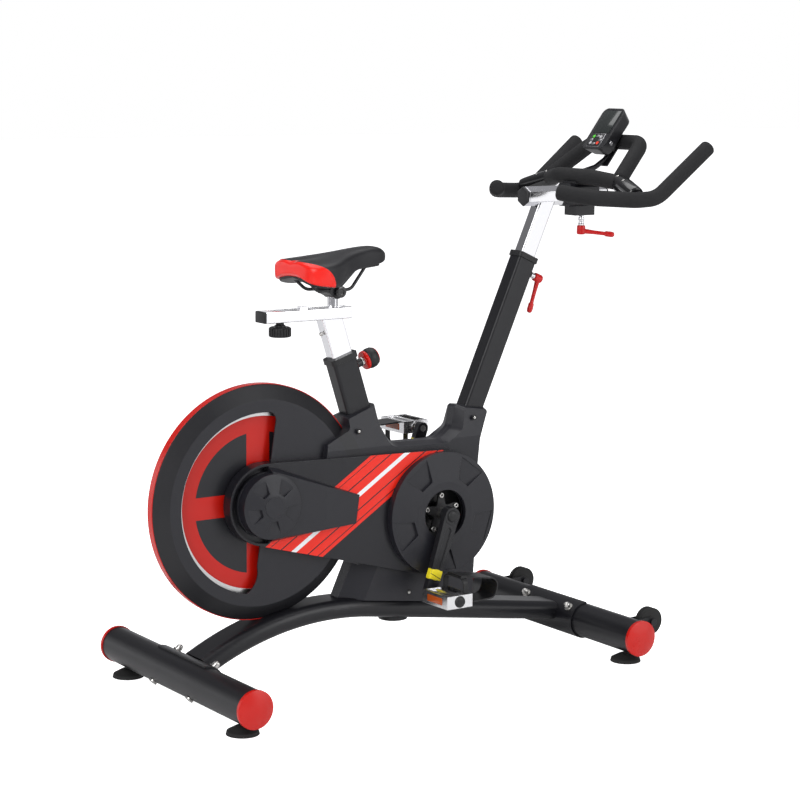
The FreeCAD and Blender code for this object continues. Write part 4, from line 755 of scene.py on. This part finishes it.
def lever(name, start, axis, arm, length, body, node):
    """Drum along its axis, arm out sideways and a little down the axis, with the screw above it."""
    axis, arm = Vector(axis).normalized(), Vector(arm).normalized()
    drum = turned([(0, 0.0085), (0.002, 0.0096), (0.018, 0.0100), (0.0205, 0.0082)], start, axis, 32)
    root = Vector(start) + axis * 0.0125
    tip = root + arm * length + axis * 0.009
    along = (tip - root).normalized()
    shank = turned([(0.004, 0.0058), (0.020, 0.0052), (0.030, 0.0046), (length * 0.72, 0.0045),
                    (length * 0.73, 0.0062), (length * 0.90, 0.0066), (length * 0.97, 0.0056),
                    (length, 0.0030)], root, along, 24)
    whole = joined_up([drum, shank])
    fitted(whole, name, red_lever["material"], body, bevel=0.0005, angle=25)
    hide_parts(node)
    screw = turned([(0, 0.0058), (0.004, 0.0058), (0.0045, 0.0072), (0.0100, 0.0072), (0.0105, 0.0058),
                    (0.0160, 0.0058), (0.0165, 0.0072), (0.0225, 0.0066)],
                   Vector(start) - axis * 0.022, axis, 24)
    fitted(screw, name + "_screw", chrome["material"], body, bevel=0.0003)


head_foot = Vector((0.2845, 0, 0.861))
head_turn = Matrix.Rotation(math.radians(24), 4, "Y")
lever("carriage_lever", (0.461, 0, 0.955), (0, 0, -1), (0.86, -0.5, 0), 0.077, "lever_carriage",
      "clamp_lever")
lever("column_lever", head_foot + head_turn @ Vector((0.046, 0, 0.003)), head_turn @ Vector((1, 0, 0)),
      head_turn @ Vector((0, 0, -1)), 0.080, "lever_height", "height_lever")

# ---- Console -----------------------------------------------------------------------------------------
# Satin black moulded case with a glossy display window, a silver-framed keypad and a jack socket.
tilt = math.radians(-52)
console_place = Matrix.Translation((0.520, 0, 1.1733)) @ Matrix.Rotation(tilt, 4, "Y")


def on_console(x, y, z):
    return console_place @ Vector((x, y, z))


case_plastic = finish("console_plastic", (0.012, 0.012, 0.014), 0.34, grain=1600.0, depth=0.00003,
                      radius=0.0008)
case = block(0.116, 0.076, 0.034, on_console(0, 0, -0.017), tilt)
case_up = (console_place.to_3x3() @ Vector((0, 0, 1))).normalized()
only(case)
bpy.ops.object.transform_apply(location=True, rotation=True, scale=True)
bpy.ops.object.mode_set(mode="EDIT")
bpy.ops.mesh.select_mode(type="EDGE")
bpy.ops.mesh.select_all(action="DESELECT")
bpy.ops.object.mode_set(mode="OBJECT")
for edge in case.data.edges:
    ends = [case.data.vertices[i].co for i in edge.vertices]
    edge.select = abs((ends[1] - ends[0]).normalized().dot(case_up)) > 0.9
bpy.ops.object.mode_set(mode="EDIT")
bpy.ops.mesh.bevel(offset=0.016, segments=6, affect="EDGES")
bpy.ops.object.mode_set(mode="OBJECT")
opened(case, lambda centre, normal: normal.dot(case_up) < -0.9)
bpy.ops.transform.resize(value=(0.86, 0.80, 0.86), center_override=on_console(0, 0, -0.034))
bpy.ops.object.mode_set(mode="OBJECT")
opened(case, lambda centre, normal: normal.dot(case_up) > 0.9)
bpy.ops.mesh.inset(thickness=0.0065, depth=0)
bpy.ops.transform.translate(value=case_up * -0.0010)
bpy.ops.object.mode_set(mode="OBJECT")
fitted(case, "console_body", case_plastic["material"], "console", bevel=0.0026, segments=4)
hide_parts("console_case")

window = finish("console_window", (0.014, 0.018, 0.017), 0.09, coat=0.6, grain=200.0, depth=0.000002,
                wear_and_highlight=0.0)
pane = block(0.0620, 0.0560, 0.0018, on_console(0.0190, 0, -0.0005), tilt)
fitted(pane, "console_window", window["material"], "console", bevel=0.0006)
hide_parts("console_screen")
silver = finish("keypad_silver", (0.42, 0.42, 0.43), 0.30, metallic=1.0, grain=1200.0, patch=0.2)
frame_plate = block(0.0370, 0.0440, 0.0014, on_console(-0.0330, 0, -0.0004), tilt)
fitted(frame_plate, "keypad_frame", silver["material"], "console", bevel=0.0005)
pad_plate = block(0.0345, 0.0415, 0.0010, on_console(-0.0330, 0, 0.0003), tilt)
fitted(pad_plate, "keypad_mat", case_plastic["material"], "console", bevel=0.0003)
for i, (x, y) in enumerate(((-0.0225, 0), (-0.0330, 0.0150), (-0.0330, -0.0150), (-0.0435, 0))):
    key = block(0.0060, 0.0100, 0.0016, on_console(x, y, 0.0010), tilt)
    fitted(key, "keypad_bar_%d" % (i + 1), silver["material"], "console", bevel=0.0006)
key_green, key_grey, key_red = (0.10, 0.55, 0.05), (0.45, 0.45, 0.46), (0.80, 0.05, 0.02)
for number, colour in ((1, key_green), (2, key_grey), (3, key_grey), (4, key_red)):
    rubber_key = finish("key_rubber_%d" % number, colour, 0.5, grain=1800.0, depth=0.00002, radius=0.0006)
    coat_node(rubber_key["material"], "console_button_%d" % number)
jack = turned([(0, 0.0050), (0.0015, 0.0050), (0.0017, 0.0036), (0.0017, 0.0022), (-0.0010, 0.0020)],
              on_console(-0.030, -0.0365, -0.015), (0, -1, 0), 24)
fitted(jack, "console_jack", silver["material"], "console", bevel=0.0002)

# ---- Crank caps, labels and spider bolts ---------------------------------------------------------------
# Domed dust caps on the cranks, a yellow label round each arm, five plated bolts in each spider.
crank_lean = math.radians(18.5)
crank_x, crank_z, crank_length = 0.035, 0.346, 0.170
label_yellow = finish("label_yellow", (0.85, 0.70, 0.02), 0.45, grain=500.0, depth=0.00001, wear_and_highlight=0.05)
for side, hand in ((-1, "right"), (1, "left")):
    out = Vector((0, side, 0))
    cap = turned([(0, 0.0132), (0.0020, 0.0130), (0.0045, 0.0110), (0.0056, 0.0070), (0.0060, 0.0020)],
                 (crank_x, side * 0.1038, crank_z), out, 40)
    fitted(cap, "crank_cap_" + hand, black_plastic["material"], "cranks", bevel=0.0006,
           angle=15)
    down = Vector((side * math.sin(crank_lean), 0, side * math.cos(crank_lean)))
    middle = Vector((crank_x, side * 0.0957, crank_z)) + down * 0.132
    label = block(0.0315, 0.0160, 0.0240, middle, math.atan2(down.x, down.z))
    fitted(label, "crank_label_" + hand, label_yellow["material"], "cranks", bevel=0.0030)
    stripe = block(0.0319, 0.0164, 0.0050, middle + down * 0.003, math.atan2(down.x, down.z) + 0.25)
    fitted(stripe, "crank_label_stripe_" + hand, black_plastic["material"], "cranks",
           bevel=0.0030)
bolt_circle = 0.040
for i in range(5):
    around = math.radians(72 * i + 20)
    bolt_x = crank_x + bolt_circle * math.cos(around)
    bolt_z = crank_z + bolt_circle * math.sin(around)
    bolt = turned([(0, 0.0058), (0.0030, 0.0058), (0.0040, 0.0048), (0.0040, 0.0028), (0.0022, 0.0026)],
                  (bolt_x, -0.0615, bolt_z), (0, -1, 0), 20)
    fitted(bolt, "spider_bolt_%d" % (i + 1), zinc["material"], "cranks", bevel=0.0003)

# ---- Pedal fittings --------------------------------------------------------------------------------------
# Amber reflectors let into both edges of each pedal, and a black dust cap on the outer end.
amber = finish("reflector_amber", (0.42, 0.075, 0.010), 0.20, coat=0.4, grain=60.0, depth=0.0002, wear_and_highlight=0.05)
for side, hand in ((-1, "right"), (1, "left")):
    pedal_x = crank_x + side * crank_length * math.sin(crank_lean)
    pedal_z = crank_z + side * crank_length * math.cos(crank_lean)
    body = "pedal_" + hand
    for ahead, edge in ((-1, "rear"), (1, "front")):
        strip = block(0.0024, 0.054, 0.0150, (pedal_x + ahead * 0.0330, side * 0.162, pedal_z))
        fitted(strip, "reflector_%s_%s" % (hand, edge), amber["material"], body, bevel=0.0010)
    dust_cap = turned([(0, 0.0128), (0.003, 0.0128), (0.0062, 0.0105), (0.0080, 0.0060), (0.0084, 0.0020)],
                      (pedal_x, side * 0.2062, pedal_z), (0, side, 0), 32)
    fitted(dust_cap, "pedal_cap_" + hand, black_plastic["material"], body, bevel=0.0005,
           angle=15)

# ---- Cover screws ------------------------------------------------------------------------------------------
# Plated pan-head screws in moulded cups, the same on both sides.
side_y = 0.0420
for name, x, z in (("seat_shroud", -0.168, 0.542), ("head_shroud", 0.136, 0.546), ("skirt", -0.036, 0.174)):
    for side, hand in ((-1, "right"), (1, "left")):
        cup = turned([(-0.001, 0.0060), (0.0006, 0.0058), (0.0007, 0.0046), (0.0002, 0.0044)],
                     (x, side * side_y, z), (0, side, 0), 24)
        fitted(cup, "%s_cup_%s" % (name, hand), black_plastic["material"], "frame")
        screw = turned([(0, 0.0034), (0.0012, 0.0033), (0.0020, 0.0022), (0.0021, 0.0008)],
                       (x, side * side_y, z), (0, side, 0), 20)
        fitted(screw, "%s_screw_%s" % (name, hand), zinc["material"], "frame")
